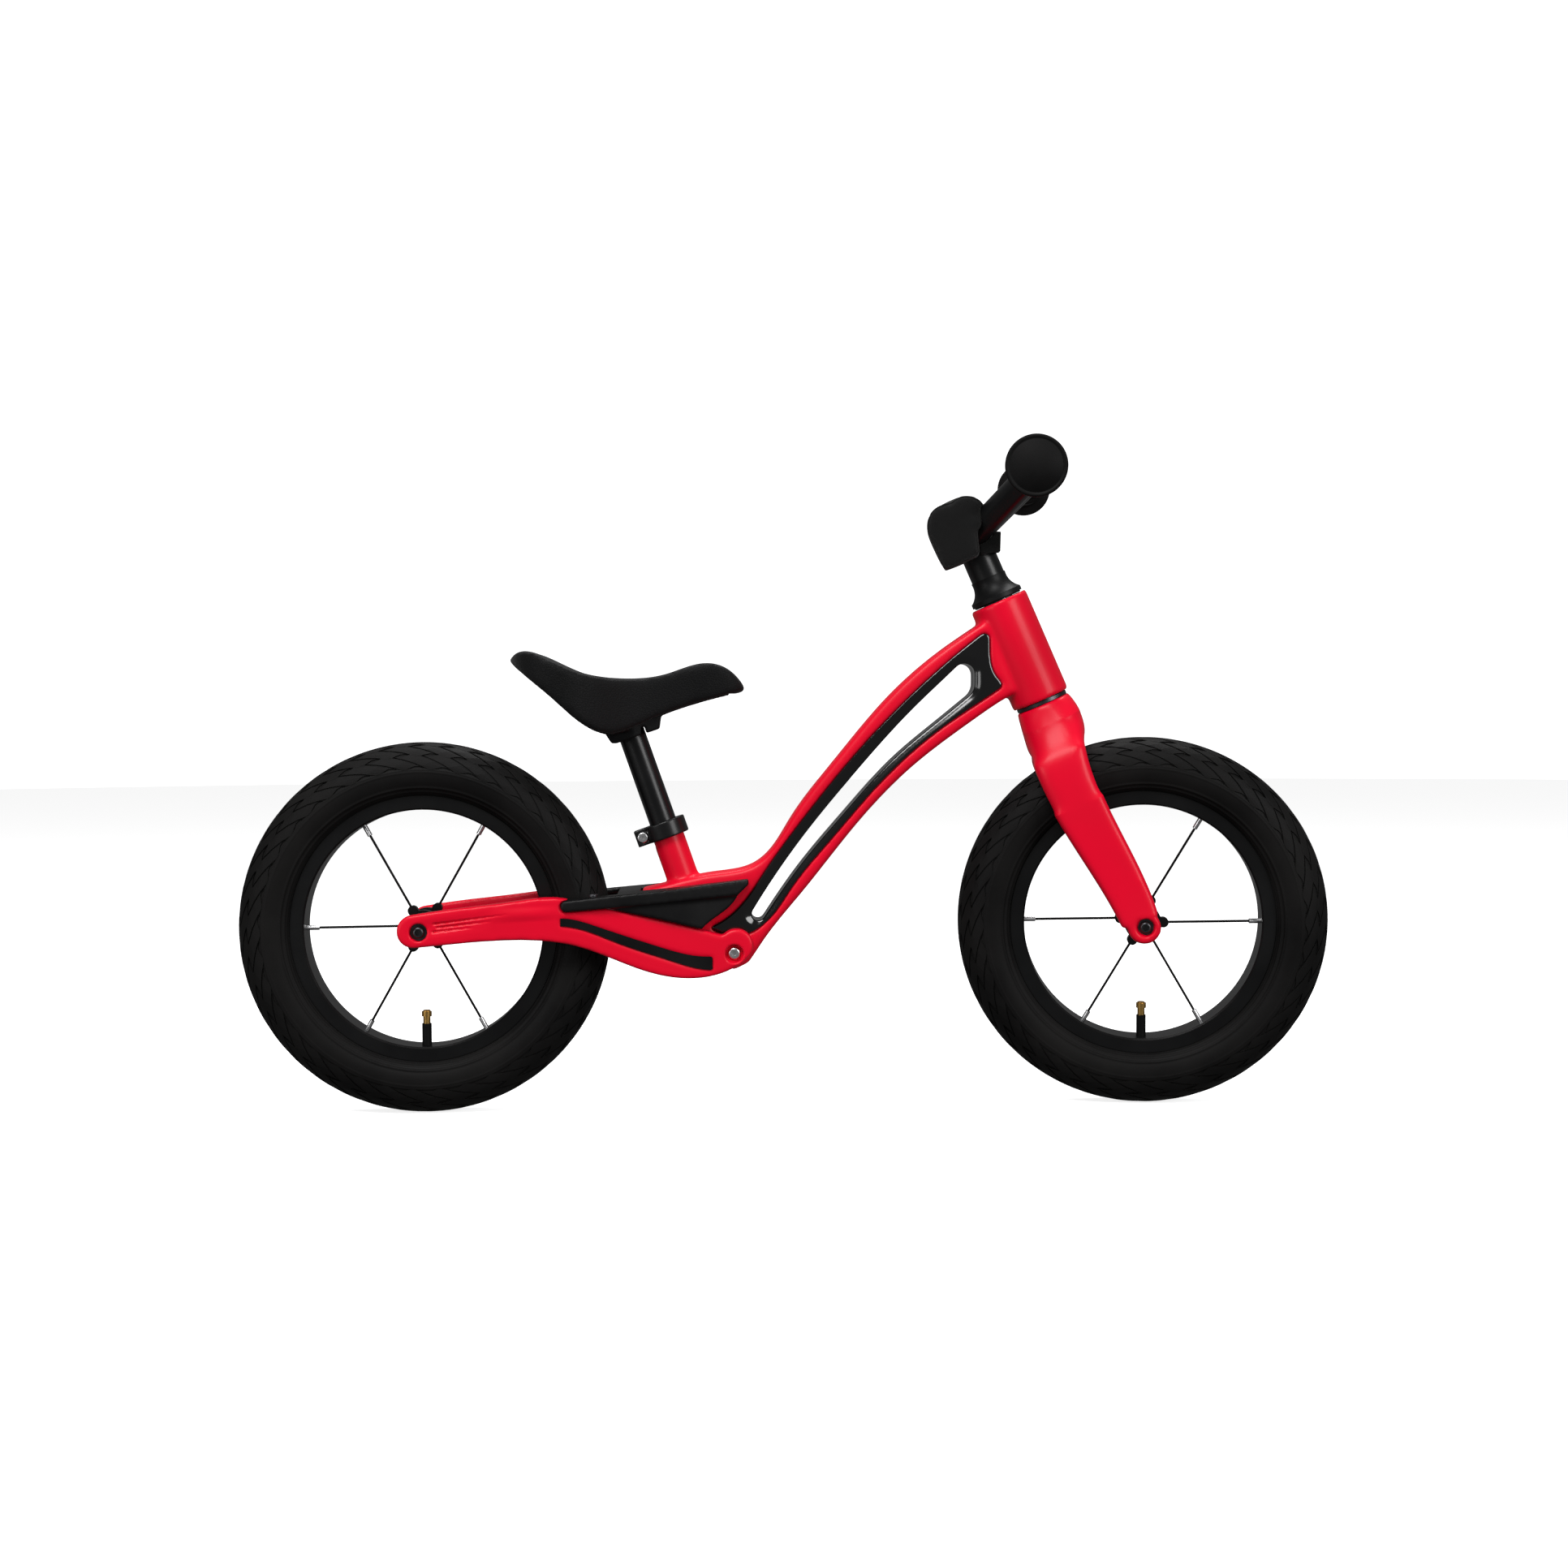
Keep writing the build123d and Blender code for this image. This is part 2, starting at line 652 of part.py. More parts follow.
def make_footrest():
    strip = strip_face()
    band = side_slab(strip, 0, 70) & (tall(footrest_plan(0, 0)) - tall(footrest_plan(band_thick, 0)))
    lowered = Pos(0, -deck_thick) * strip
    deck = (side_slab(strip, 0, 70) - side_slab(lowered, 0, 70)) & tall(footrest_plan(1.0, 0))
    panel = side_slab(panel_face(), 0, 70) & (
        tall(footrest_plan(panel_inset, 0)) - tall(footrest_plan(panel_inset + panel_thick, 0))
    )
    panel -= side_slab(under_stay_top(seat_gap), 0, 70)
    half = band + deck + panel
    body = both_sides(half)
    wheel_room = Pos(0, 0, tyre_radius) * along_y(
        rod(tyre_radius + tyre_front_gap, -tyre_width / 2 - tyre_side_gap, tyre_width / 2 + tyre_side_gap)
    )
    body -= wheel_room
    body -= Pos(222, 0, 190) * Box(92, 2 * frame_half + 2 * seat_gap, 60)
    for side in (-1, 1):
        hole = Pos(footrest_screw_x, side * footrest_screw_y, 170)
        body -= hole * rod(footrest_screw_radius + bolt_gap, -20, 20)
    return body


def make_footrest_screws():
    """Two screws down through the band into the stays."""
    screws = []
    for side in (-1, 1):
        screw = button_bolt(footrest_screw_radius, 20.0, 3.8, 2.0, 2.5, 1.2)
        screws.append(Pos(footrest_screw_x, side * footrest_screw_y, 178.2) * screw)
    return Compound(children=screws)


# ---- seat ----------------------------------------------------------------
clamp_radius = 17.8
clamp_ear_reach = 25.3
clamp_ear_half = 8.5
clamp_slit = 3.0
clamp_bolt_back = 19.6
clamp_bolt_radius = 2.5
clamp_mid = (clamp_low + clamp_high) / 2


def make_seat_clamp():
    collar = rod(clamp_radius, clamp_low, clamp_high)
    ears = Box(clamp_ear_reach, 2 * clamp_ear_half, clamp_high - clamp_low)
    ears = Pos(-clamp_ear_reach / 2, 0, clamp_mid) * ears
    body = collar + ears
    body -= rod(seat_tube_radius, clamp_low - 1, seat_tube_top)
    body -= rod(post_radius + 0.4, clamp_low, clamp_high + 5)
    body -= Pos(-clamp_ear_reach / 2 - 5, 0, clamp_mid) * Box(clamp_ear_reach + 10, clamp_slit, 40)
    body = fillet(body.edges().filter_by(Axis.Z).group_by(Axis.X)[0], 1.2)
    cross = Pos(-clamp_bolt_back, 0, clamp_mid)
    body -= cross * along_y(rod(clamp_bolt_radius + bolt_gap, -20, 20))
    body -= cross * along_y(rod(4.6, -20, -clamp_ear_half + 1.5))
    body -= cross * along_y(rod(4.6, clamp_ear_half - 1.5, 20))
    return seated(body)


def make_clamp_bolt():
    bolt = button_bolt(clamp_bolt_radius, 2 * clamp_ear_half - 1.0, 4.4, 2.6, 3.0, 1.8)
    place = Pos(-clamp_bolt_back, 0, clamp_mid)
    return seated(place * mirror(along_y(Pos(0, 0, clamp_ear_half - 1.5) * bolt), about=Plane.XZ))


def make_clamp_nut():
    nut = ring(4.4, clamp_bolt_radius + running, clamp_ear_half - 1.5, clamp_ear_half + 1.4)
    return seated(Pos(-clamp_bolt_back, 0, clamp_mid) * along_y(nut))


def make_seatpost():
    post = ring(post_radius, post_radius - post_wall, post_low, post_high)
    plate = Pos(0, 0, post_high + 1.5) * Cylinder(post_radius, 3)
    return seated(post + plate)


saddle_wall = 3.0
saddle_pad = 7.0
block_half = 25.0
plate_half_x = 12.0
plate_half_y = 22.0
saddle_screw_y = 16.5
saddle_screw_radius = 2.0


def saddle_side_face():
    """Side outline of the whole saddle."""
    top = Spline(
        (71.0, 368.2), (85.0, 376.0), (103.0, 370.6), (130.0, 358.5), (164.0, 353.4),
        (199.0, 357.0), (217.0, 363.2), (232.0, 365.8), (245.0, 363.0), (256.0, 354.8),
        (264.2, 342.4),
    )
    under = Spline(
        (264.2, 342.4), (224.0, 332.8), (181.0, 317.0), (152.0, 308.0), (137.0, 313.5),
        (110.0, 336.0), (71.0, 368.2),
        tangents=[(-1, -0.2), (-0.75, 0.66)],
    )
    return make_face([top, under])


def saddle_plan_face(inset):
    """Plan outline of the saddle."""
    side = [
        (73.0 + inset, 22.0 - inset / 2), (84.0 + inset / 2, 47.0 - inset), (108.0, 60.0 - inset),
        (140.0, 52.0 - inset), (168.0, 34.0 - inset), (200.0, 24.0 - inset), (235.0, 20.5 - inset),
        (258.0 - inset / 2, 14.0 - inset / 2),
    ]
    tail, nose = (70.0 + inset, 0.0), (265.5 - inset, 0.0)
    other = [(x, -y) for x, y in reversed(side)]
    return make_face(Spline(tail, *side, nose, *other, periodic=True))


def saddle_core_face():
    """Side outline of the hard shell under the cover."""
    top = Spline(
        (84.0, 360.5), (103.0, 357.0), (130.0, 345.0), (164.0, 340.0), (199.0, 343.5), (250.0, 344.0),
    )
    under = Polyline((250.0, 344.0), (250.0, 320.0), (215.0, 300.0), (84.0, 300.0), (84.0, 360.5))
    return make_face([top, under])


def saddle_body(face, plan):
    return side_slab(face, -80, 80) & (Pos(0, 0, 280) * extrude(plan, 120))


def block_face():
    return make_face(Polyline(
        (147.0, 312.0), (154.3, 300.8), (158.6, 300.8), (192.4, 312.2), (194.0, 324.0),
        (194.0, 344.0), (147.0, 344.0), close=True,
    ))


def make_saddle_cover():
    outer = saddle_body(saddle_side_face(), saddle_plan_face(0))
    return outer - saddle_body(saddle_core_face(), saddle_plan_face(saddle_pad))


def make_saddle_base():
    outer = saddle_body(saddle_side_face(), saddle_plan_face(0))
    core = saddle_body(saddle_core_face(), saddle_plan_face(saddle_pad)) & outer
    lowered = Pos(0, -saddle_wall) * saddle_core_face()
    shell = core - saddle_body(lowered, saddle_plan_face(saddle_pad + saddle_wall))
    block = side_slab(block_face(), -block_half, block_half)
    block &= side_slab(Pos(0, 1.0) * lowered, -block_half - 1, block_half + 1)
    block &= Pos(0, 0, 280) * extrude(saddle_plan_face(saddle_pad), 120)
    pocket = Pos(0, 0, post_high - 8.5) * Box(2 * plate_half_x + 0.4, 2 * plate_half_y + 0.4, 23)
    base = shell + block - seated(pocket)
    for side in (-1, 1):
        pilot = Pos(0, side * saddle_screw_y, post_high) * rod(saddle_screw_radius, -5, 12)
        base -= seated(pilot)
    return base


def make_saddle_screws():
    screws = []
    for side in (-1, 1):
        screw = Rot(180, 0, 0) * button_bolt(saddle_screw_radius, 12.0, 3.4, 2.2, 2.5, 1.4)
        screws.append(seated(Pos(0, side * saddle_screw_y, post_high) * screw))
    return Compound(children=screws)


# ---- fork and steering ---------------------------------------------------
def slanted_block(level, back, front, low_y, high_y, corner):
    """Rounded section of the fork at one height above the axle."""
    middle = Pos((back + front) / 2, (low_y + high_y) / 2, level)
    return middle * RectangleRounded(front - back, high_y - low_y, corner)


fork_arch_gap = 6.0
fork_spot_face = 16.0  # radius of the flat inside each fork end
fork_leg_inner = tyre_width / 2 + 5.0
fork_leg_thick = 16.0
fork_leg_outer = fork_leg_inner + fork_leg_thick


def make_fork_leg():
    """The +Y leg, from the crown's shoulder to the axle."""
    shoulder = slanted_block(158.0, -28.3, 19.6, fork_leg_inner - 8, fork_leg_outer - 3, 6.0)
    knee = slanted_block(126.0, -28.6, 15.4, fork_leg_inner, fork_leg_outer, 5.5)
    shin = slanted_block(66.0, -20.6, 17.6, fork_leg_inner + 1.5, fork_leg_outer + 0.6, 5.0)
    ankle = slanted_block(6.0, -13.4, 18.0, front_hub_gap, fork_end_half, 4.0)
    leg = loft([shoulder, knee, shin, ankle])
    foot = Pos(fork_offset - 1.0, 0, 0) * along_y(rod(13.4, front_hub_gap, fork_end_half))
    foot = fillet(foot.edges(), 2.5)
    return leg + foot


def make_fork():
    neck = Pos(0, 0, crown_top) * Circle(crown_radius)
    collar = Pos(0.5, 0, 178.0) * RectangleRounded(51.0, 58.0, 20.0)
    yoke = slanted_block(150.0, -28.3, 18.0, -fork_leg_outer + 1.5, fork_leg_outer - 1.5, 8.0)
    crown = loft([yoke, collar, neck])
    body = crown + both_sides(make_fork_leg())
    arch_radius = fork_leg_inner
    arch = Pos(-5, 0, 0) * Plane.YZ.location * extrude(
        Pos(0, 60) * Rectangle(2 * arch_radius, 2 * (tyre_radius + fork_arch_gap - 60)), 60, both=True
    )
    arch = fillet(arch.edges().filter_by(Axis.X).group_by(Axis.Z)[-1], 22.0)
    lower_room = Pos(0, 0, 20) * Box(120, 2 * arch_radius, 200)
    body -= arch + lower_room
    body -= Pos(fork_offset, 0, 0) * along_y(rod(fork_spot_face, -front_hub_gap, front_hub_gap))
    body -= rod(steerer_radius, crown_top - steerer_seat, crown_top + 5)
    body -= both_sides(Pos(fork_offset, 0, 0) * axle_bolt_hole(fork_end_half))
    return body


steerer_seat = 24.0
steerer_top = bar_height - bar_radius - 3.0
race_gap = 0.3
cone_base_radius = 21.5
cone_base_thick = 3.6
cone_height = 19.5
seal_thick = 1.2


def make_steerer():
    return ring(steerer_radius, steerer_radius - steerer_wall, crown_top - steerer_seat, steerer_top)


def make_crown_race():
    return ring(crown_radius - 0.9, steerer_radius, crown_top, head_low - race_gap)


def make_bearing(low):
    bearing = ring(headset_radius, steerer_radius + running, low, low + headset_width)
    for face in (low, low + headset_width):
        bearing -= ring(headset_radius - 2.0, steerer_radius + 2.2, face - 0.5, face + 0.5)
    return headed(bearing)


cone_low = head_high + race_gap + seal_thick


def make_headset_seal():
    return ring(cone_base_radius - 1.6, steerer_radius, head_high + race_gap, cone_low)


def make_headset_cone():
    top = cone_low + cone_height
    shoulder = (cone_base_radius, cone_low + cone_base_thick)
    neck = (sleeve_radius + 0.8, top)
    base = Polyline((steerer_radius, cone_low), (cone_base_radius, cone_low), shoulder)
    flare = ThreePointArc(shoulder, (sleeve_radius + 2.2, cone_low + 9.5), neck)
    bore = Polyline(neck, (steerer_radius, top), (steerer_radius, cone_low))
    laid = Plane.XZ.location * make_face([base, flare, bore])
    return revolve(laid, Axis.Z)


def bar_path():
    """Middle line of the bar's +Y half: straight, forward and up, then straight again."""
    points = [
        (0, 0, bar_height), (0, bar_straight, bar_height),
        (grip_reach, bar_straight + bar_sweep, grip_height),
        (grip_reach, bar_half - grip_end_wall, grip_height),
    ]
    return FilletPolyline(*points, radius=24.0)


def bar_half_solid(radius):
    path = bar_path()
    section = Plane(origin=(0, 0, bar_height), x_dir=(1, 0, 0), z_dir=(0, 1, 0)) * Circle(radius)
    return sweep(section, path=path)


bar_straight = 12.0
bar_sweep = 60.0
grip_end_wall = 2.0
lug_low, lug_high = 330.5, 340.5
lug_reach = 25.0
lug_half = 7.0
lug_bolt_back = 20.0


def make_handlebar():
    """Bent bar welded across the top of the sleeve that clamps on the steerer."""
    bar = both_sides(bar_half_solid(bar_radius))
    sleeve = rod(sleeve_radius, cone_low + cone_height, bar_height + 4)
    lug = Box(lug_reach, 2 * lug_half, lug_high - lug_low)
    lug = Pos(-lug_reach / 2, 0, (lug_low + lug_high) / 2) * lug
    body = bar + sleeve + lug
    body -= both_sides(bar_half_solid(bar_radius - bar_wall))
    body -= rod(steerer_radius, cone_low, steerer_top)
    body -= rod(steerer_radius - 3, steerer_top - 1, bar_height + 1)
    body -= Pos(-lug_reach / 2 - 4, 0, (lug_low + lug_high) / 2 - 3) * Box(lug_reach + 4, 2.0, 20)
    cross = Pos(-lug_bolt_back, 0, (lug_low + lug_high) / 2)
    body -= cross * along_y(rod(2.5 + bolt_gap, -20, 20))
    return body


def make_bar_clamp_bolt():
    bolt = button_bolt(2.5, 2 * lug_half + 5.0, 4.2, 2.6, 3.0, 1.6)
    place = Pos(-lug_bolt_back, 0, (lug_low + lug_high) / 2)
    return place * along_y(Pos(0, 0, lug_half) * bolt)


def make_bar_clamp_nut():
    nut = extrude(RegularPolygon(4.6, 6), 4.0) - Cylinder(2.5 + running, 20)
    place = Pos(-lug_bolt_back, 0, (lug_low + lug_high) / 2)
    return place * along_y(Pos(0, 0, -lug_half - 4.0) * nut)


def make_grip():
    """The +Y grip, a rubber sleeve with a closed safety end."""
    low = bar_half - grip_length
    body = rod(grip_radius, low, bar_half - 1)
    inner = rod(grip_radius + 4.0, low, low + 4.5)
    outer = rod(grip_flange_radius, bar_half - 9.0, bar_half)
    inner = fillet(inner.edges(), 1.6)
    outer = fillet(outer.edges(), 3.0)
    body = body + inner + outer
    body -= rod(bar_radius, low - 5, bar_half - grip_end_wall)
    rim = ring(grip_flange_radius * 0.87, grip_flange_radius * 0.87 - 0.9, bar_half - 0.6, bar_half + 1)
    body -= rim
    return Pos(grip_reach, 0, grip_height) * along_y(body)


pad_back, pad_front = -30.5, 20.6
pad_low, pad_high = 328.5, 377.6
strap_thick = 2.4
strap_half = 22.0
strap_corners = [(7.2, 346.9), (24.0, 339.5), (17.1, 324.8), (1.2, 328.9)]


def make_bar_pad():
    """Foam pad round the middle of the bar, cut away in front for its strap."""
    section = make_face(Polyline(
        (pad_back, pad_low), (pad_back, pad_high), (pad_front, pad_high), (pad_front, 348.5),
        (strap_corners[0][0] - seat_gap, 348.5), (strap_corners[3][0] - seat_gap, pad_low),
        close=True,
    ))
    section = fillet(section.vertices().group_by(Axis.Y)[-1], 17.0)
    pad = side_slab(section, -pad_half, pad_half)
    pad -= both_sides(bar_half_solid(bar_radius + seat_gap))
    pad -= rod(sleeve_radius + seat_gap, pad_low - 10, bar_height + 4 + seat_gap)
    pad -= Pos(-15, 0, 334.5) * Box(34.0, 30.0, 18.0)
    return pad


def make_pad_strap():
    """Band from one side of the pad round the front of the sleeve to the other."""
    face = make_face(Polyline(*strap_corners, close=True))
    band = side_slab(face, -strap_half, strap_half)
    top, foot = Vector(*strap_corners[1]), Vector(*strap_corners[2])
    upper, lower = top + (top - foot), foot - (top - foot)
    inside = make_face(Polyline(
        (upper.X - strap_thick, upper.Y), (lower.X - strap_thick, lower.Y),
        (pad_back, lower.Y), (pad_back, upper.Y), close=True,
    ))
    wall = strap_half - strap_thick
    band -= side_slab(inside, -wall, wall)
    return band - both_sides(bar_half_solid(bar_radius + seat_gap))


# ---- write every piece ---------------------------------------------------
def frame_pieces():
    axle_place = Pos(0, 0, tyre_radius)
    return {
        "main_frame": make_main_frame,
        "frame_inlay_left": lambda: inlay_solid(1),
        "frame_inlay_right": lambda: inlay_solid(-1),
        "rear_stay_left": make_stay,
        "rear_stay_right": lambda: mirror(make_stay(), about=Plane.XZ),
        "grip_strip_left": make_grip_strip,
        "grip_strip_right": lambda: mirror(make_grip_strip(), about=Plane.XZ),
        "stay_bolt": make_stay_bolt,
        "stay_barrel_nut": make_stay_nut,
        "footrest": make_footrest,
        "footrest_screws": make_footrest_screws,
        "seat_clamp": make_seat_clamp,
        "seat_clamp_bolt": make_clamp_bolt,
        "seat_clamp_nut": make_clamp_nut,
        "lower_headset_bearing": lambda: make_bearing(head_low),
        "upper_headset_bearing": lambda: make_bearing(head_high - headset_width),
        "rear_axle": lambda: axle_place * make_axle(rear_hub_gap),
        "rear_axle_bolts": lambda: axle_place * make_axle_bolts(rear_hub_gap, stay_end_half),
        "rear_axle_washers": lambda: axle_place * make_axle_washers(stay_end_half),
        "rear_axle_spacers": lambda: axle_place * make_axle_spacers(rear_hub_gap),
    }


def seat_pieces():
    return {
        "seatpost": make_seatpost,
        "saddle_base": make_saddle_base,
        "saddle_cover": make_saddle_cover,
        "saddle_screws": make_saddle_screws,
    }


def steering_pieces():
    axle_place = Pos(fork_offset, 0, 0)
    drawn = {
        "fork": make_fork,
        "steerer": make_steerer,
        "crown_race": make_crown_race,
        "headset_seal": make_headset_seal,
        "headset_cone": make_headset_cone,
        "handlebar": make_handlebar,
        "bar_clamp_bolt": make_bar_clamp_bolt,
        "bar_clamp_nut": make_bar_clamp_nut,
        "grip_left": make_grip,
        "grip_right": lambda: mirror(make_grip(), about=Plane.XZ),
        "bar_pad": make_bar_pad,
        "bar_pad_strap": make_pad_strap,
        "front_axle": lambda: axle_place * make_axle(front_hub_gap),
        "front_axle_bolts": lambda: axle_place * make_axle_bolts(front_hub_gap, fork_end_half),
        "front_axle_washers": lambda: axle_place * make_axle_washers(fork_end_half),
        "front_axle_spacers": lambda: axle_place * make_axle_spacers(front_hub_gap),
    }
    return {name: (lambda make=make: steered(make())) for name, make in drawn.items()}


def wheel_pieces():
    wheel = make_wheel()
    front_place = steer_plane.location * bars_turned
    front_place = front_place * Pos(fork_offset, 0, 0) * Rot(0, head_angle, 0)
    pieces = {}
    for name, solid in wheel.items():
        pieces[f"rear_{name}"] = lambda solid=solid: Pos(0, 0, tyre_radius) * solid
        pieces[f"front_{name}"] = lambda solid=solid: front_place * solid
    return pieces


def main():
    os.makedirs("parts", exist_ok=True)
    pieces = {**frame_pieces(), **seat_pieces(), **steering_pieces(), **wheel_pieces()}
    for name, make in pieces.items():
        write(name, make())


if __name__ == "__main__":
    main()
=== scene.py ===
import json
from math import cos, exp, pi, radians, sin

import bmesh
import bpy
from mathutils import Matrix, Vector
from mathutils.kdtree import KDTree


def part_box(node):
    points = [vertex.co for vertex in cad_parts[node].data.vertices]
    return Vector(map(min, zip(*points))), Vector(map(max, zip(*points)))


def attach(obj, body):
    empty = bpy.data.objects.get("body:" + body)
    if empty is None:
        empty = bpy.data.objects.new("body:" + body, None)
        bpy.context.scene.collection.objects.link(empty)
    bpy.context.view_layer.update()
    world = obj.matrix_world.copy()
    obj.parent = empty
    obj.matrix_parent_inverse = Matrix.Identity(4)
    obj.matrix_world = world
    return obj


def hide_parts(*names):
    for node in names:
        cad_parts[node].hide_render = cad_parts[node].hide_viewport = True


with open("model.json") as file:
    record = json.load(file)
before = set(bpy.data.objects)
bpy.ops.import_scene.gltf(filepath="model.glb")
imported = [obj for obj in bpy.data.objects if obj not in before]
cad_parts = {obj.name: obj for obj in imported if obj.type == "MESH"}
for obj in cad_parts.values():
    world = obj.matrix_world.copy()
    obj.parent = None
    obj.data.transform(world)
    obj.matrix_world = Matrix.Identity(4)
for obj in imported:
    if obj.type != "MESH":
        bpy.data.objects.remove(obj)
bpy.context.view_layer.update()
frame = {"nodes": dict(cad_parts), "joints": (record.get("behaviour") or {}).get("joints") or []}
nodes = frame["nodes"]
joints = {joint["name"]: joint for joint in frame["joints"]}
print("frame loaded:", len(nodes), "CAD nodes")


# camera, floor and lights

cameraSpot = {
    "place": (0.23729, -1.86797, 0.32621),
    "turn": -0.0305,
    "nod": -0.0321,
    "roll": 0.0072,
    "lens": 52.286,
}

camera = bpy.data.objects.new("camera", bpy.data.cameras.new("camera"))
bpy.context.scene.collection.objects.link(camera)
camera.data.sensor_width = 36
camera.data.lens = cameraSpot["lens"]
aim = Matrix.Rotation(cameraSpot["turn"], 4, "Z")
aim = aim @ Matrix.Rotation(cameraSpot["nod"], 4, "X") @ Matrix.Rotation(cameraSpot["roll"], 4, "Y")
camera.matrix_world = Matrix.Translation(cameraSpot["place"]) @ aim @ Matrix.Rotation(pi / 2, 4, "X")
bpy.context.scene.camera = camera


studio = {
    "floorRadius": 9.0,
    "domeGlow": 1.1,
    "paperGlow": 0.80,
    "worldLight": 0.15,
    "keyPower": 80.0,
    "fillPower": 44.0,
    "topPower": 46.0,
    "lowPower": 13.0,
}


def softLight(name, place, target, size, power):
    lamp = bpy.data.lights.new(name, "AREA")
    lamp.shape = "RECTANGLE"
    lamp.size, lamp.size_y = size
    lamp.energy = power
    holder = bpy.data.objects.new(name, lamp)
    bpy.context.scene.collection.objects.link(holder)
    holder.location = place
    holder.rotation_euler = (Vector(target) - Vector(place)).to_track_quat("-Z", "Y").to_euler()
    return holder


def stageSurface(name, bm, glow):
    mesh = bpy.data.meshes.new(name)
    bm.to_mesh(mesh)
    bm.free()
    for face in mesh.polygons:
        face.use_smooth = True
    surface = bpy.data.objects.new(name, mesh)
    bpy.context.scene.collection.objects.link(surface)
    paper = bpy.data.materials.new(f"{name}Paper")
    paper.use_nodes = True
    shader = paper.node_tree.nodes["Principled BSDF"]
    shader.inputs["Base Color"].default_value = (0.8, 0.8, 0.8, 1)
    shader.inputs["Roughness"].default_value = 0.9
    shader.inputs["Specular IOR Level"].default_value = 0.1
    shader.inputs["Emission Color"].default_value = (1, 1, 1, 1)
    shader.inputs["Emission Strength"].default_value = glow
    mesh.materials.append(paper)
    surface.visible_diffuse = False  # the paper's own glow stays off the bike
    surface.visible_glossy = False
    return surface


def makeStudio():
    # a round paper floor under a plain white dome
    disc = bmesh.new()
    bmesh.ops.create_circle(disc, cap_ends=True, segments=96, radius=studio["floorRadius"])
    stageSurface("floor", disc, studio["paperGlow"])
    shell = bmesh.new()
    bmesh.ops.create_uvsphere(shell, u_segments=64, v_segments=32, radius=studio["floorRadius"])
    dome = stageSurface("dome", shell, studio["domeGlow"])
    dome.visible_shadow = False  # the world's light comes through it

    world = bpy.data.worlds.new("studio")
    bpy.context.scene.world = world
    world.use_nodes = True
    world.node_tree.nodes["Background"].inputs["Color"].default_value = (1, 1, 1, 1)
    world.node_tree.nodes["Background"].inputs["Strength"].default_value = studio["worldLight"]

    middle = (0.3, 0, 0.25)
    softLight("keyLight", (-0.5, -1.9, 2.6), middle, (1.8, 1.2), studio["keyPower"])
    softLight("fillLight", (2.4, -2.2, 1.2), middle, (1.2, 1.6), studio["fillPower"])
    softLight("topLight", (0.5, 0.9, 2.6), middle, (2.2, 0.9), studio["topPower"])
    softLight("lowLight", (-1.9, -2.0, 0.5), middle, (1.2, 1.0), studio["lowPower"])
    bpy.context.scene.view_settings.view_transform = "Standard"


makeStudio()
print("camera, floor and lights are set")


# finishes: every one has its own grain, unevenness and gloss

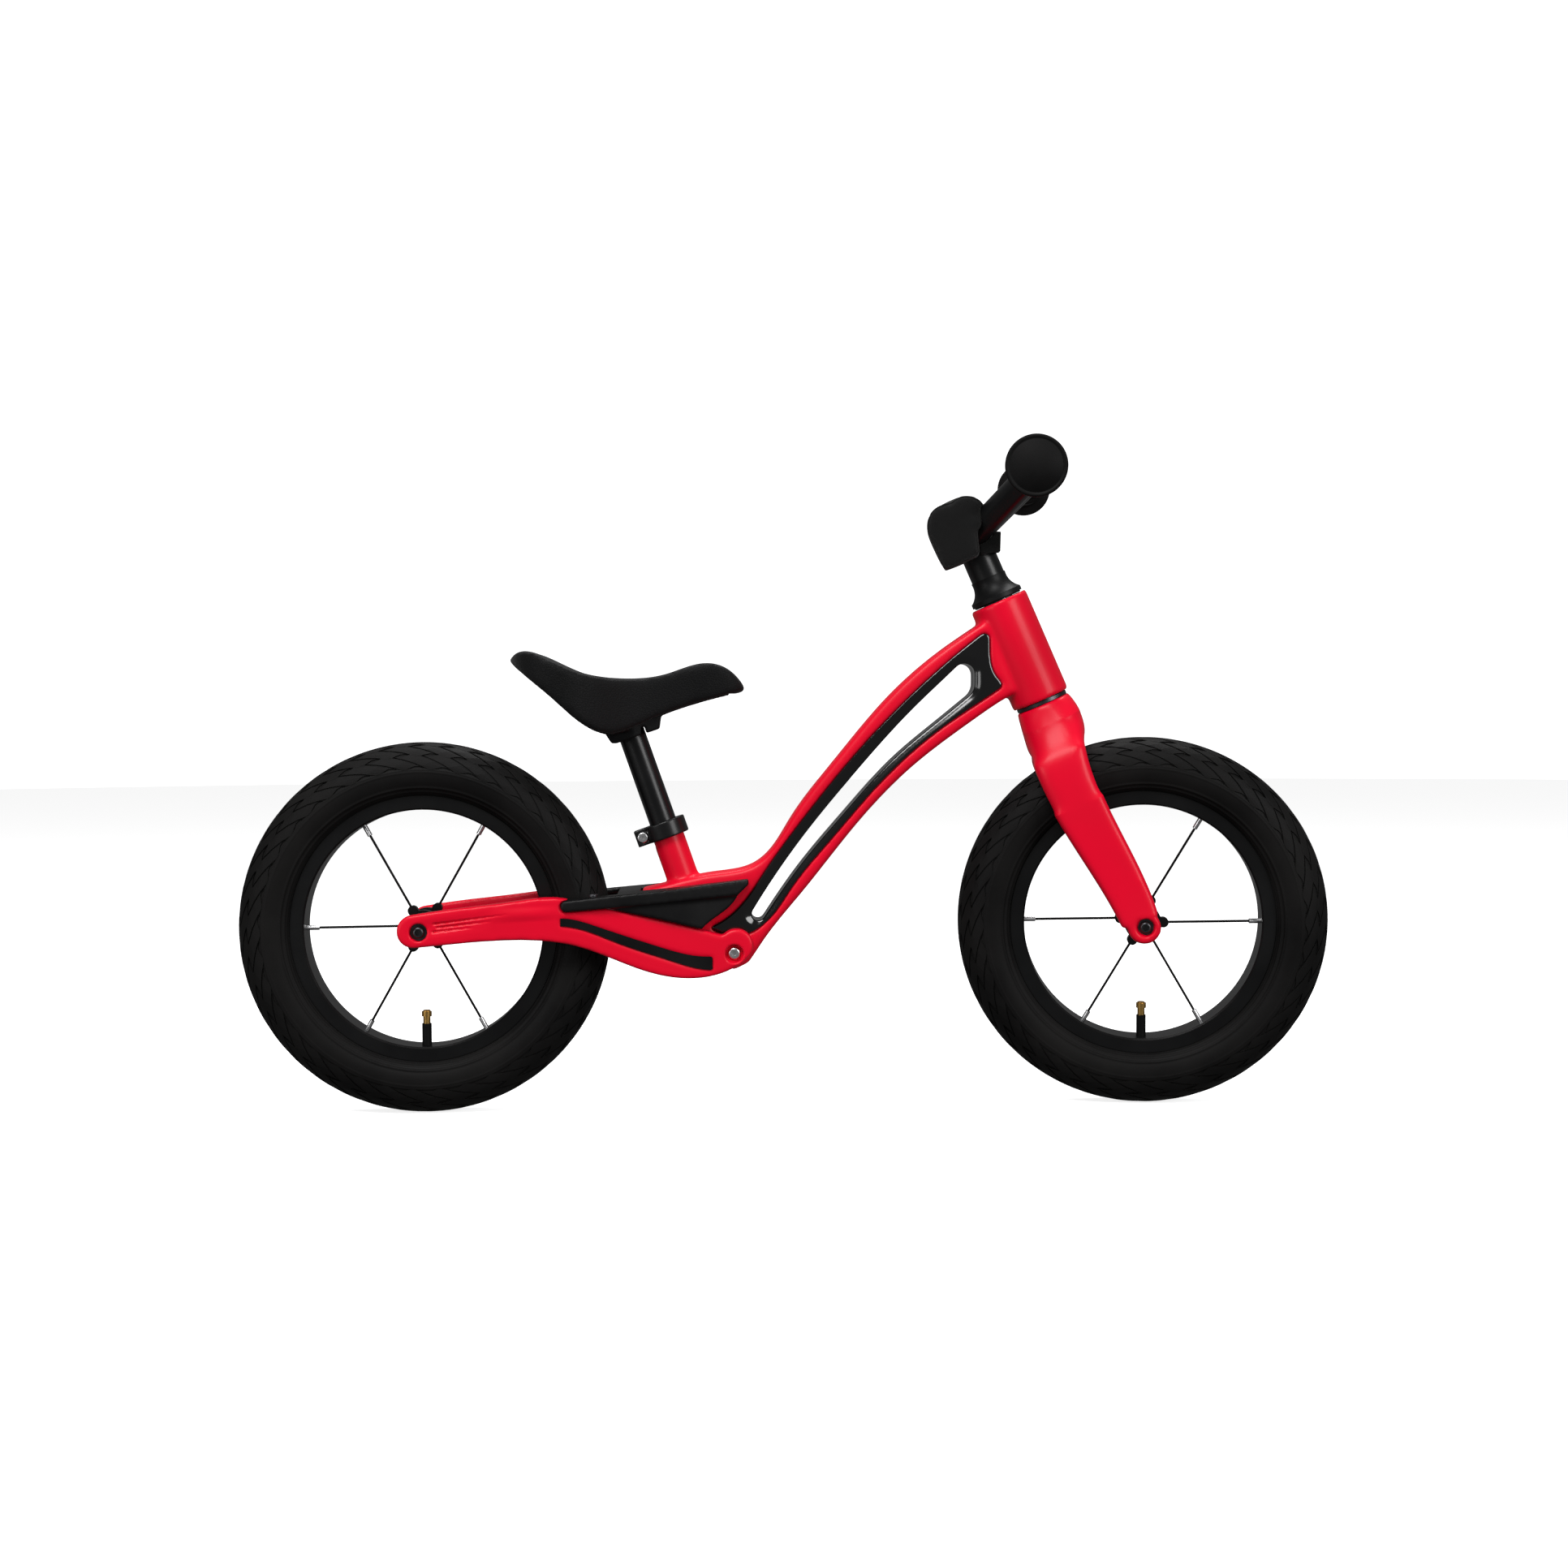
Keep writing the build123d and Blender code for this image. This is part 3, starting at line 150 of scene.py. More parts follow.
finishes = {
    "framePaint": {
        "colour": (0.78, 0.0010, 0.023), "mark": (0.70, 0.0008, 0.019), "rough": (0.34, 0.44),
        "grain": 900.0, "relief": 0.00002, "patch": 14.0, "coat": 0.10, "coatRough": 0.22, "shine": 0.16,
    },
    "blackPaint": {
        "colour": (0.0025, 0.0025, 0.0028), "mark": (0.0044, 0.0044, 0.0047), "rough": (0.28, 0.38),
        "grain": 1400.0, "relief": 0.00002, "patch": 25.0, "coat": 0.1, "coatRough": 0.2, "shine": 0.3,
    },
    "inlayBlack": {
        "colour": (0.0014, 0.0014, 0.0017), "mark": (0.0028, 0.0028, 0.0030), "rough": (0.10, 0.18),
        "grain": 600.0, "relief": 0.00001, "patch": 18.0, "coat": 0.5, "coatRough": 0.04, "shine": 0.5,
    },
    "stepPlastic": {
        "colour": (0.0025, 0.0025, 0.0028), "mark": (0.0050, 0.0050, 0.0052), "rough": (0.36, 0.48),
        "grain": 2200.0, "relief": 0.00006, "patch": 30.0, "coat": 0.0, "coatRough": 0.1, "shine": 0.2,
    },
    "shellPlastic": {
        "colour": (0.0033, 0.0033, 0.0036), "mark": (0.0060, 0.0060, 0.0063), "rough": (0.42, 0.56),
        "grain": 1600.0, "relief": 0.00007, "patch": 30.0, "coat": 0.0, "coatRough": 0.1,
    },
    "gripRubber": {
        "colour": (0.0033, 0.0031, 0.0031), "mark": (0.0060, 0.0058, 0.0058), "rough": (0.50, 0.66),
        "grain": 1500.0, "relief": 0.00008, "patch": 40.0, "coat": 0.0, "coatRough": 0.1,
    },
    "stripRubber": {
        "colour": (0.0036, 0.0036, 0.0039), "mark": (0.0066, 0.0066, 0.0069), "rough": (0.50, 0.64),
        "grain": 1700.0, "relief": 0.00010, "patch": 40.0, "coat": 0.0, "coatRough": 0.1,
    },
    "tyreRubber": {
        "colour": (0.0041, 0.0039, 0.0039), "mark": (0.0088, 0.0083, 0.0080), "rough": (0.46, 0.64),
        "grain": 1100.0, "relief": 0.00007, "patch": 16.0, "coat": 0.0, "coatRough": 0.1,
    },
    "tubeRubber": {
        "colour": (0.0033, 0.0033, 0.0033), "mark": (0.0055, 0.0055, 0.0055), "rough": (0.45, 0.6),
        "grain": 1200.0, "relief": 0.00004, "patch": 30.0, "coat": 0.0, "coatRough": 0.1,
    },
    "rimBlack": {
        "colour": (0.0017, 0.0017, 0.0019), "mark": (0.0033, 0.0033, 0.0036), "rough": (0.24, 0.34),
        "grain": 2000.0, "relief": 0.00002, "patch": 20.0, "coat": 0.0, "coatRough": 0.15, "shine": 0.35,
    },
    "spokeBlack": {
        "colour": (0.0028, 0.0028, 0.0028), "mark": (0.0050, 0.0050, 0.0050), "rough": (0.3, 0.4),
        "grain": 2000.0, "relief": 0.00001, "patch": 60.0, "coat": 0.0, "coatRough": 0.2, "shine": 0.1,
    },
    "steel": {
        "colour": (0.56, 0.56, 0.57), "mark": (0.42, 0.42, 0.43), "rough": (0.25, 0.4),
        "grain": 2600.0, "relief": 0.00002, "patch": 120.0, "coat": 0.0, "coatRough": 0.1, "metal": 1.0,
    },
    "darkSteel": {
        "colour": (0.05, 0.05, 0.055), "mark": (0.09, 0.09, 0.095), "rough": (0.28, 0.42),
        "grain": 2600.0, "relief": 0.00002, "patch": 160.0, "coat": 0.0, "coatRough": 0.1, "metal": 0.9,
    },
    "brightAlloy": {
        "colour": (0.80, 0.80, 0.81), "mark": (0.62, 0.62, 0.63), "rough": (0.22, 0.36),
        "grain": 2600.0, "relief": 0.00002, "patch": 150.0, "coat": 0.0, "coatRough": 0.1, "metal": 1.0,
    },
    "brass": {
        "colour": (0.72, 0.45, 0.14), "mark": (0.52, 0.30, 0.08), "rough": (0.22, 0.36),
        "grain": 2400.0, "relief": 0.00002, "patch": 200.0, "coat": 0.0, "coatRough": 0.1, "metal": 1.0,
    },
}


def startFinish(name, look):
    # colour patches, uneven gloss and a fine grain, all on object coordinates
    made = bpy.data.materials.new(name)
    made.use_nodes = True
    tree = made.node_tree
    shader = tree.nodes["Principled BSDF"]
    shader.inputs["Metallic"].default_value = look.get("metal", 0.0)
    shader.inputs["Specular IOR Level"].default_value = look.get("shine", 0.5 if look.get("metal") else 0.09)
    shader.inputs["Coat Weight"].default_value = look["coat"]
    shader.inputs["Coat Roughness"].default_value = look["coatRough"]
    place = tree.nodes.new("ShaderNodeTexCoord")
    patches = tree.nodes.new("ShaderNodeTexNoise")
    patches.inputs["Scale"].default_value = look["patch"]
    patches.inputs["Detail"].default_value = 5.0
    tree.links.new(place.outputs["Object"], patches.inputs["Vector"])
    tint = tree.nodes.new("ShaderNodeValToRGB")
    tint.color_ramp.elements[0].position = 0.35
    tint.color_ramp.elements[0].color = (*look["colour"], 1)
    tint.color_ramp.elements[1].position = 0.75
    tint.color_ramp.elements[1].color = (*look["mark"], 1)
    tree.links.new(patches.outputs["Fac"], tint.inputs["Fac"])
    tree.links.new(tint.outputs["Color"], shader.inputs["Base Color"])
    gloss = tree.nodes.new("ShaderNodeMapRange")
    gloss.inputs["From Min"].default_value = 0.3
    gloss.inputs["From Max"].default_value = 0.7
    gloss.inputs["To Min"].default_value = look["rough"][0]
    gloss.inputs["To Max"].default_value = look["rough"][1]
    tree.links.new(patches.outputs["Fac"], gloss.inputs["Value"])
    tree.links.new(gloss.outputs["Result"], shader.inputs["Roughness"])
    grain = tree.nodes.new("ShaderNodeTexNoise")
    grain.inputs["Scale"].default_value = look["grain"]
    grain.inputs["Detail"].default_value = 3.0
    tree.links.new(place.outputs["Object"], grain.inputs["Vector"])
    bump = tree.nodes.new("ShaderNodeBump")
    bump.inputs["Strength"].default_value = 1.0
    bump.inputs["Distance"].default_value = look["relief"]
    tree.links.new(grain.outputs["Fac"], bump.inputs["Height"])
    tree.links.new(bump.outputs["Normal"], shader.inputs["Normal"])
    return made


materials = {name: startFinish(name, look) for name, look in finishes.items()}


def finishTree(name):
    tree = materials[name].node_tree
    kinds = {node.bl_idname: node for node in tree.nodes}
    return tree, tree.nodes["Principled BSDF"], kinds["ShaderNodeTexCoord"], kinds["ShaderNodeBump"]


saddleSkin = {
    "colour": (0.0028, 0.0028, 0.0030), "mark": (0.0047, 0.0047, 0.0050), "rough": (0.46, 0.60),
    "grain": 700.0, "relief": 0.00005, "patch": 12.0, "coat": 0.0, "coatRough": 0.1,
    "cells": 520.0, "cellRelief": 0.00010,
}


def makeSaddleSkin():
    # leather-like cells under the fine grain
    materials["saddleSkin"] = startFinish("saddleSkin", saddleSkin)
    tree, shader, place, bump = finishTree("saddleSkin")
    cells = tree.nodes.new("ShaderNodeTexVoronoi")
    cells.feature = "DISTANCE_TO_EDGE"
    cells.inputs["Scale"].default_value = saddleSkin["cells"]
    tree.links.new(place.outputs["Object"], cells.inputs["Vector"])
    creases = tree.nodes.new("ShaderNodeBump")
    creases.inputs["Strength"].default_value = 1.0
    creases.inputs["Distance"].default_value = saddleSkin["cellRelief"]
    soften = tree.nodes.new("ShaderNodeMapRange")
    soften.interpolation_type = "SMOOTHSTEP"
    soften.inputs["From Max"].default_value = 0.25
    tree.links.new(cells.outputs["Distance"], soften.inputs["Value"])
    tree.links.new(soften.outputs["Result"], creases.inputs["Height"])
    tree.links.new(bump.outputs["Normal"], creases.inputs["Normal"])
    tree.links.new(creases.outputs["Normal"], shader.inputs["Normal"])
    shader.inputs["Sheen Weight"].default_value = 0.06


makeSaddleSkin()


padCloth = {
    "colour": (0.0015, 0.0015, 0.0015), "mark": (0.0030, 0.0029, 0.0029), "rough": (0.85, 0.97),
    "grain": 1800.0, "relief": 0.00012, "patch": 45.0, "coat": 0.0, "coatRough": 0.1,
    "threads": 1100.0, "threadRelief": 0.00014,
}


def makeCloth(name, look, sheen):
    # two crossed sets of threads
    materials[name] = startFinish(name, look)
    tree, shader, place, bump = finishTree(name)
    heights = []
    for direction in ("X", "Z"):
        threads = tree.nodes.new("ShaderNodeTexWave")
        threads.wave_type = "BANDS"
        threads.bands_direction = direction
        threads.inputs["Scale"].default_value = look["threads"]
        threads.inputs["Distortion"].default_value = 1.2
        tree.links.new(place.outputs["Object"], threads.inputs["Vector"])
        heights.append(threads)
    cross = tree.nodes.new("ShaderNodeMath")
    cross.operation = "MULTIPLY"
    tree.links.new(heights[0].outputs["Fac"], cross.inputs[0])
    tree.links.new(heights[1].outputs["Fac"], cross.inputs[1])
    weave = tree.nodes.new("ShaderNodeBump")
    weave.inputs["Strength"].default_value = 1.0
    weave.inputs["Distance"].default_value = look["threadRelief"]
    tree.links.new(cross.outputs["Value"], weave.inputs["Height"])
    tree.links.new(bump.outputs["Normal"], weave.inputs["Normal"])
    tree.links.new(weave.outputs["Normal"], shader.inputs["Normal"])
    shader.inputs["Sheen Weight"].default_value = sheen
    shader.inputs["Sheen Roughness"].default_value = 0.6


makeCloth("padCloth", padCloth, 0.12)
strapCloth = {
    "colour": (0.0019, 0.0019, 0.0017), "mark": (0.0041, 0.0041, 0.0036), "rough": (0.85, 0.96),
    "grain": 2600.0, "relief": 0.00025, "patch": 60.0, "coat": 0.0, "coatRough": 0.1,
    "threads": 800.0, "threadRelief": 0.0002,
}
makeCloth("strapCloth", strapCloth, 0.1)
print("finishes made:", len(materials))


cadFinish = {
    "framePaint": ["main_frame", "rear_stay_left", "rear_stay_right", "fork"],
    "inlayBlack": ["frame_inlay_left", "frame_inlay_right"],
    "stripRubber": ["grip_strip_left", "grip_strip_right"],
    "brightAlloy": ["stay_bolt", "stay_barrel_nut", "seat_clamp_bolt", "seat_clamp_nut"],
    "stepPlastic": ["footrest", "headset_cone"],
    "shellPlastic": ["saddle_base"],
    "blackPaint": ["seat_clamp", "seatpost", "handlebar"],
    "steel": ["rear_axle", "front_axle", "steerer"],
    "darkSteel": [
        "lower_headset_bearing", "upper_headset_bearing", "footrest_screws", "rear_axle_bolts", "front_axle_bolts", "rear_axle_washers", "front_axle_washers",
        "rear_axle_spacers", "front_axle_spacers", "saddle_screws", "crown_race", "bar_clamp_bolt",
        "bar_clamp_nut",
    ],
    "saddleSkin": ["saddle_cover"],
    "padCloth": ["bar_pad"],
    "strapCloth": ["bar_pad_strap"],
    "gripRubber": ["grip_left", "grip_right"],
    "tubeRubber": ["headset_seal"],
}
wheelFinish = {
    "tyre": "tyreRubber", "inner_tube": "tubeRubber", "rim": "rimBlack", "spokes": "spokeBlack",
    "spoke_nipples": "brightAlloy", "hub": "rimBlack", "hub_bearings": "steel",
    "valve_stem": "tubeRubber", "valve_tip": "brass",
}
for end in ("rear", "front"):
    for part, finish in wheelFinish.items():
        cadFinish.setdefault(finish, []).append(f"{end}_{part}")
for finish, names in cadFinish.items():
    for name in names:
        mesh = nodes[name].data
        mesh.materials.clear()
        mesh.materials.append(materials[finish])
print("CAD nodes finished")


# helpers for new pieces

def newPiece(name, bm, finish, body, smooth=True):
    mesh = bpy.data.meshes.new(name)
    bm.to_mesh(mesh)
    bm.free()
    for one in ([finish] if isinstance(finish, str) else finish):
        mesh.materials.append(materials[one])
    for face in mesh.polygons:
        face.use_smooth = smooth
    piece = bpy.data.objects.new(name, mesh)
    bpy.context.scene.collection.objects.link(piece)
    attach(piece, body)
    return piece


def cadCopy(node):
    # a joined-up copy of a CAD node's mesh
    bm = bmesh.new()
    bm.from_mesh(nodes[node].data)
    bmesh.ops.remove_doubles(bm, verts=bm.verts, dist=0.000005)
    return bm


def runModifier(piece, kind, **settings):
    made = piece.modifiers.new(kind.lower(), kind)
    for key, value in settings.items():
        setattr(made, key, value)
    bpy.context.view_layer.update()
    shape = piece.evaluated_get(bpy.context.evaluated_depsgraph_get())
    baked = bpy.data.meshes.new_from_object(shape)
    old = piece.data
    kept = list(old.materials)
    piece.modifiers.clear()
    piece.data = baked
    baked.materials.clear()
    for one in kept:
        baked.materials.append(one)
    bpy.data.meshes.remove(old)


def smoothMesh(piece, rounds, crisp=(), reach=0.0095):
    # crisp names CAD nodes on cross-wise axes, and the metal round each of them keeps its edges
    bm = bmesh.new()
    bm.from_mesh(piece.data)
    centres = [sum(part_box(node), Vector()) / 2 for node in crisp]
    moved = [v for v in bm.verts if all(
        (v.co.x - c.x) ** 2 + (v.co.z - c.z) ** 2 > reach ** 2 for c in centres)]
    for step in range(rounds):
        bmesh.ops.smooth_vert(
            bm, verts=moved, factor=0.5, use_axis_x=True, use_axis_y=True, use_axis_z=True)
    bm.to_mesh(piece.data)
    bm.free()
    for face in piece.data.polygons:
        face.use_smooth = True


# castings: the same shapes with the soft edges of a cast and painted part

castings = {
    "main_frame": {"voxel": 0.0014, "rounds": 7},
    "rear_stay_left": {"voxel": 0.0008, "rounds": 5, "more": 24, "crisp": ["stay_bolt", "rear_axle"]},
    "rear_stay_right": {"voxel": 0.0008, "rounds": 5, "more": 24, "crisp": ["stay_bolt", "rear_axle"]},
    "fork": {"voxel": 0.0012, "rounds": 5, "more": 12, "crisp": ["front_axle"], "body": "steering"},
    "frame_inlay_left": {"voxel": 0.0007, "rounds": 5, "finish": "inlayBlack", "slot": "gloss_black"},
    "frame_inlay_right": {"voxel": 0.0007, "rounds": 5, "finish": "inlayBlack", "slot": "gloss_black"},
    "footrest": {"voxel": 0.0010, "rounds": 5, "finish": "stepPlastic", "slot": "black_plastic"},
    "seat_clamp": {"voxel": 0.0006, "rounds": 5, "finish": "blackPaint", "slot": "black_paint"},
    "saddle_base": {"voxel": 0.0009, "rounds": 4, "finish": "shellPlastic", "slot": "shell_plastic",
                    "body": "seat"},
    "bar_pad_strap": {"voxel": 0.0006, "rounds": 4, "finish": "strapCloth", "slot": "strap_cloth",
                      "body": "steering"},
}
castPieces = {}
for name, cast in castings.items():
    piece = newPiece(
        f"{name}_cast", cadCopy(name), cast.get("finish", "framePaint"), cast.get("body", "frame"))
    runModifier(piece, "REMESH", mode="VOXEL", voxel_size=cast["voxel"], adaptivity=0.0)
    smoothMesh(piece, cast["rounds"])
    if "more" in cast:
        smoothMesh(piece, cast["more"], cast["crisp"])
    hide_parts(name)
    castPieces[name] = piece
    print(name, "softened,", len(piece.data.polygons), "faces")


# three tapering grooves pressed into the outside of each stay, in a shallow pocket ahead of the bolt
# lines are given from the axle, forwards and up, in metres

stayGrooves = {
    "lines": [
        ((0.0125, 0.0066), (0.073, 0.0140)),
        ((0.0150, 0.0038), (0.0600, 0.0086)),
        ((0.0115, 0.0004), (0.0440, 0.0036)),
    ],
    "width": 0.0026,
    "depth": 0.0014,
    "pocket": ((0.004, 0.0026), (0.060, 0.0090)),
    "pocketWidth": 0.0170,
    "pocketDepth": 0.0010,
    "ridge": ((0.052, 0.0125), (0.118, 0.0150)),
    "ridgeWidth": 0.0130,
    "ridgeHeight": 0.0011,
}


def along(point, line):
    # how far along a line a point lies, from 0 to 1, and its distance from the line
    start, end = Vector(line[0]), Vector(line[1])
    run = end - start
    share = min(max((point - start).dot(run) / run.length_squared, 0), 1)
    return share, (point - (start + run * share)).length


def fade(distance, width):
    return max(0.0, 1 - (2 * distance / width) ** 2) ** 2


def pressGrooves(name):
    axle = Vector(joints["rear_wheel_spin"]["pos_m"])
    side = 1 if name.endswith("left") else -1
    look = stayGrooves
    for vert in castPieces[name].data.vertices:
        flat = Vector((vert.co.x - axle.x, vert.co.z - axle.z))
        if vert.normal.y * side < 0.5 or flat.x > 0.15:
            continue
        sink = 0.0
        for line in look["lines"]:
            share, away = along(flat, line)
            sink += look["depth"] * fade(away, look["width"] * (1 - 0.55 * share)) * (1 - share ** 4)
        share, away = along(flat, look["pocket"])
        sink += look["pocketDepth"] * fade(away, look["pocketWidth"]) * (1 - share ** 2)
        share, away = along(flat, look["ridge"])
        sink -= look["ridgeHeight"] * fade(away, look["ridgeWidth"]) * sin(pi * share)
        vert.co.y -= side * sink


for name in ("rear_stay_left", "rear_stay_right"):
    pressGrooves(name)
print("grooves pressed")


# the fork's legs flow out of its crown: a band of the fork round the crown is smoothed

forkBlend = {"from": 0.112, "to": 0.180, "rounds": 150}


def blendFork():
    steer = joints["steering"]
    up = Vector(steer["axis"]).normalized()
    up = -up if up.z < 0 else up
    axle = Vector(joints["front_wheel_spin"]["pos_m"])
    bm = bmesh.new()
    bm.from_mesh(castPieces["fork"].data)
    band = [v for v in bm.verts if forkBlend["from"] < (v.co - axle).dot(up) < forkBlend["to"]]
    for step in range(forkBlend["rounds"]):
        bmesh.ops.smooth_vert(
            bm, verts=band, factor=0.5, use_axis_x=True, use_axis_y=True, use_axis_z=True)
    bm.to_mesh(castPieces["fork"].data)
    bm.free()


blendFork()
print("fork crown blended")


# the gloss inlays dish in towards the long opening and stand up in a thin lip at their outer edge

inlayDish = {"width": 0.0055, "depth": 0.0016, "wallHalf": 0.0105, "rounds": 10, "lip": 0.0006}


def dishInlay(name):
    mesh = castPieces[name].data
    wall = [v.co for v in mesh.vertices if abs(v.co.y) < inlayDish["wallHalf"]]
    tree = KDTree(len(wall))
    for index, place in enumerate(wall):
        tree.insert((place.x, 0, place.z), index)
    tree.balance()
    for vert in mesh.vertices:
        away = tree.find((vert.co.x, 0, vert.co.z))[2]
        share = max(0.0, 1 - away / inlayDish["width"])
        if abs(vert.co.y) > inlayDish["wallHalf"]:
            reach = inlayDish["depth"] * share ** 2 - inlayDish["lip"] * (1 - share)
            vert.co.y -= (1 if vert.co.y > 0 else -1) * reach


for name in ("frame_inlay_left", "frame_inlay_right"):
    dishInlay(name)
    smoothMesh(castPieces[name], inlayDish["rounds"])
print("inlays dished")


# tyres: a smooth casing with leaf-shaped blocks round the tread

tyreShape = {
    "sectionRadius": 0.025,
    "treadLift": 0.0009,
    "treadEdge": radians(80),
    "beadAngle": radians(134),
    "casing": 0.003,
    "footHalf": 0.0131,
    "footRadius": 0.1018,
    "footThick": 0.0035,
    "turns": 144,
    "blocksAround": 38,
    "rows": 3,
    "groove": 0.0008,
    "sweep": 1.15,
    # raised rings on the side wall: angle round the section, height and width in radians
    "rings": [(radians(118), 0.0007, 0.035), (radians(127), 0.0005, 0.03), (radians(88), 0.0003, 0.02)],
}


def wheelPlace(end):
    spin = joints[f"{end}_wheel_spin"]
    lean = Vector((0, 1, 0)).rotation_difference(Vector(spin["axis"])).to_matrix().to_4x4()
    return Matrix.Translation(spin["pos_m"]) @ lean


def tyreRadii():
    low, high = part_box("rear_tyre")  # it stands upright, and both tyres are the same size
    outer = (high.z - low.z) / 2
    return outer, outer - tyreShape["sectionRadius"]


def onTyre(angle, across, lift, centreRadius):
    # across is measured along the section from the crown, in metres
    tilt = across / tyreShape["sectionRadius"]
    radius = tyreShape["sectionRadius"] - tyreShape["treadLift"] + lift
    reach = centreRadius + radius * cos(tilt)
    return Vector((reach * sin(angle), radius * sin(tilt), reach * cos(angle)))


def makeTyre(end):
    outer, centreRadius = tyreRadii()
    size = tyreShape["sectionRadius"]
    low = size - tyreShape["treadLift"]
    outline = []
    steps = 90
    for i in range(-steps, steps + 1):
        tilt = tyreShape["beadAngle"] * i / steps
        onTread = abs(tilt) < tyreShape["treadEdge"] + 0.03
        radius = low if onTread else size - 0.0003
        for middle, height, width in tyreShape["rings"]:
            radius += height * exp(-((abs(tilt) - middle) / width) ** 2)
        outline.append((radius * sin(tilt), centreRadius + radius * cos(tilt)))
    foot = [(tyreShape["footHalf"], outline[-1][1]), (tyreShape["footHalf"], tyreShape["footRadius"])]
    foot.append((tyreShape["footHalf"] - tyreShape["footThick"], tyreShape["footRadius"]))
    inner = size - tyreShape["casing"]
    lining = tyreShape["beadAngle"] - 0.1
    closing = list(foot)
    for i in range(20, -21, -1):
        tilt = lining * i / 20
        closing.append((inner * sin(tilt), centreRadius + inner * cos(tilt)))
    closing += [(-across, radius) for across, radius in reversed(foot)]
    bm = bmesh.new()
    ring = [bm.verts.new((0, y, z)) for y, z in outline + closing]
    edges = [bm.edges.new((a, b)) for a, b in zip(ring, ring[1:] + ring[:1])]
    bmesh.ops.spin(
        bm, geom=ring + edges, cent=(0, 0, 0), axis=(0, 1, 0), angle=2 * pi,
        steps=tyreShape["turns"], use_merge=True,
    )
    bmesh.ops.remove_doubles(bm, verts=bm.verts, dist=0.00001)
    bmesh.ops.recalc_face_normals(bm, faces=bm.faces)
    bmesh.ops.transform(bm, matrix=wheelPlace(end), verts=bm.verts)
    return newPiece(f"{end}_tyre_casing", bm, "tyreRubber", f"{end}_wheel")


def makeTread(end):
    outer, centreRadius = tyreRadii()
    size = tyreShape["sectionRadius"]
    around = tyreShape["blocksAround"]
    pitch = 2 * pi / around
    rowWidth = size * tyreShape["treadEdge"] / tyreShape["rows"]
    gapAcross = tyreShape["groove"]
    gapAround = tyreShape["groove"] * 2.2 / outer
    bm = bmesh.new()
    for side in (-1, 1):
        for row in range(tyreShape["rows"]):
            stagger = 0.5 * row + (0.25 if side > 0 else 0)
            for step in range(around):
                grid = bmesh.ops.create_grid(bm, x_segments=6, y_segments=3, size=0.5)
                for vert in grid["verts"]:
                    p, q = vert.co.x + 0.5, vert.co.y + 0.5
                    across = rowWidth * (row + q) + gapAcross * (0.5 - q)
                    bow = 0.10 * sin(pi * q) * (1 - 2 * p) * 0.5
                    along = (p + bow + stagger + tyreShape["sweep"] * q + step) * pitch
                    along += gapAround * (0.5 - p)
                    dip = rowWidth * 0.16 * sin(2 * pi * p) * (1 - abs(2 * q - 1) * 0.2)
                    vert.co = onTyre(along, side * (across + dip), 0, centreRadius)
    faces = bm.faces[:]
    made = bmesh.ops.extrude_face_region(bm, geom=faces)
    top = [g for g in made["geom"] if isinstance(g, bmesh.types.BMVert)]
    for vert in top:
        level = Vector((vert.co.x, 0, vert.co.z)).normalized() * centreRadius
        out = (vert.co - level).normalized()
        vert.co = level + out * size
    bmesh.ops.recalc_face_normals(bm, faces=bm.faces)
    bmesh.ops.transform(bm, matrix=wheelPlace(end), verts=bm.verts)
    return newPiece(f"{end}_tyre_tread", bm, "tyreRubber", f"{end}_wheel", smooth=False)


for end in ("rear", "front"):
    casing = makeTyre(end)
    tread = makeTread(end)
    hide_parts(f"{end}_tyre")
print("tyres made")


# saddle: padded skin drawn tight over foam

saddleForm = {"voxel": 0.0022, "rounds": 10, "fill": 0.85}


def makeSaddle():
    piece = newPiece("saddle_skin", cadCopy("saddle_cover"), "saddleSkin", "seat")
    runModifier(piece, "REMESH", mode="VOXEL", voxel_size=saddleForm["voxel"], adaptivity=0.0)
    smoothMesh(piece, saddleForm["rounds"])
    runModifier(piece, "SUBSURF", levels=1, render_levels=1)
    for face in piece.data.polygons:
        face.use_smooth = True
    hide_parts("saddle_cover")
    return piece


makeSaddle()
print("saddle made")


# bar pad: foam block in a knitted cover, swollen by a short cloth run

padForm = {"voxel": 0.0026, "rounds": 2, "pressure": 4.0, "frames": 14, "cap": 0.0022, "fill": 0.75}


def makeBarPad():
    piece = newPiece("bar_pad_cover", cadCopy("bar_pad"), "padCloth", "steering")
    runModifier(piece, "REMESH", mode="VOXEL", voxel_size=padForm["voxel"], adaptivity=0.0)
    smoothMesh(piece, padForm["rounds"])
    start = [vert.co.copy() for vert in piece.data.vertices]
    cloth = piece.modifiers.new("cloth", "CLOTH")
    cloth.settings.quality = 5
    cloth.settings.mass = 0.3
    cloth.settings.use_pressure = True
    cloth.settings.uniform_pressure_force = padForm["pressure"]
    cloth.settings.effector_weights.gravity = 0
    cloth.point_cache.frame_start = 1
    cloth.point_cache.frame_end = padForm["frames"]
    for step in range(1, padForm["frames"] + 1):
        bpy.context.scene.frame_set(step)
    shape = piece.evaluated_get(bpy.context.evaluated_depsgraph_get())
    moved = [vert.co.copy() for vert in shape.data.vertices]
    piece.modifiers.clear()
    for vert, before, after in zip(piece.data.vertices, start, moved):
        shift = after - before
        if shift.length > padForm["cap"]:
            shift = shift.normalized() * padForm["cap"]
        vert.co = before + shift
    bpy.context.scene.frame_set(1)
    smoothMesh(piece, 2)
    runModifier(piece, "SUBSURF", levels=1, render_levels=1)
    for face in piece.data.polygons:
        face.use_smooth = True
    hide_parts("bar_pad")
    return piece


padPiece = makeBarPad()
print("bar pad made")


# the bars lie along a line square to the steering axis, turned a little from straight ahead

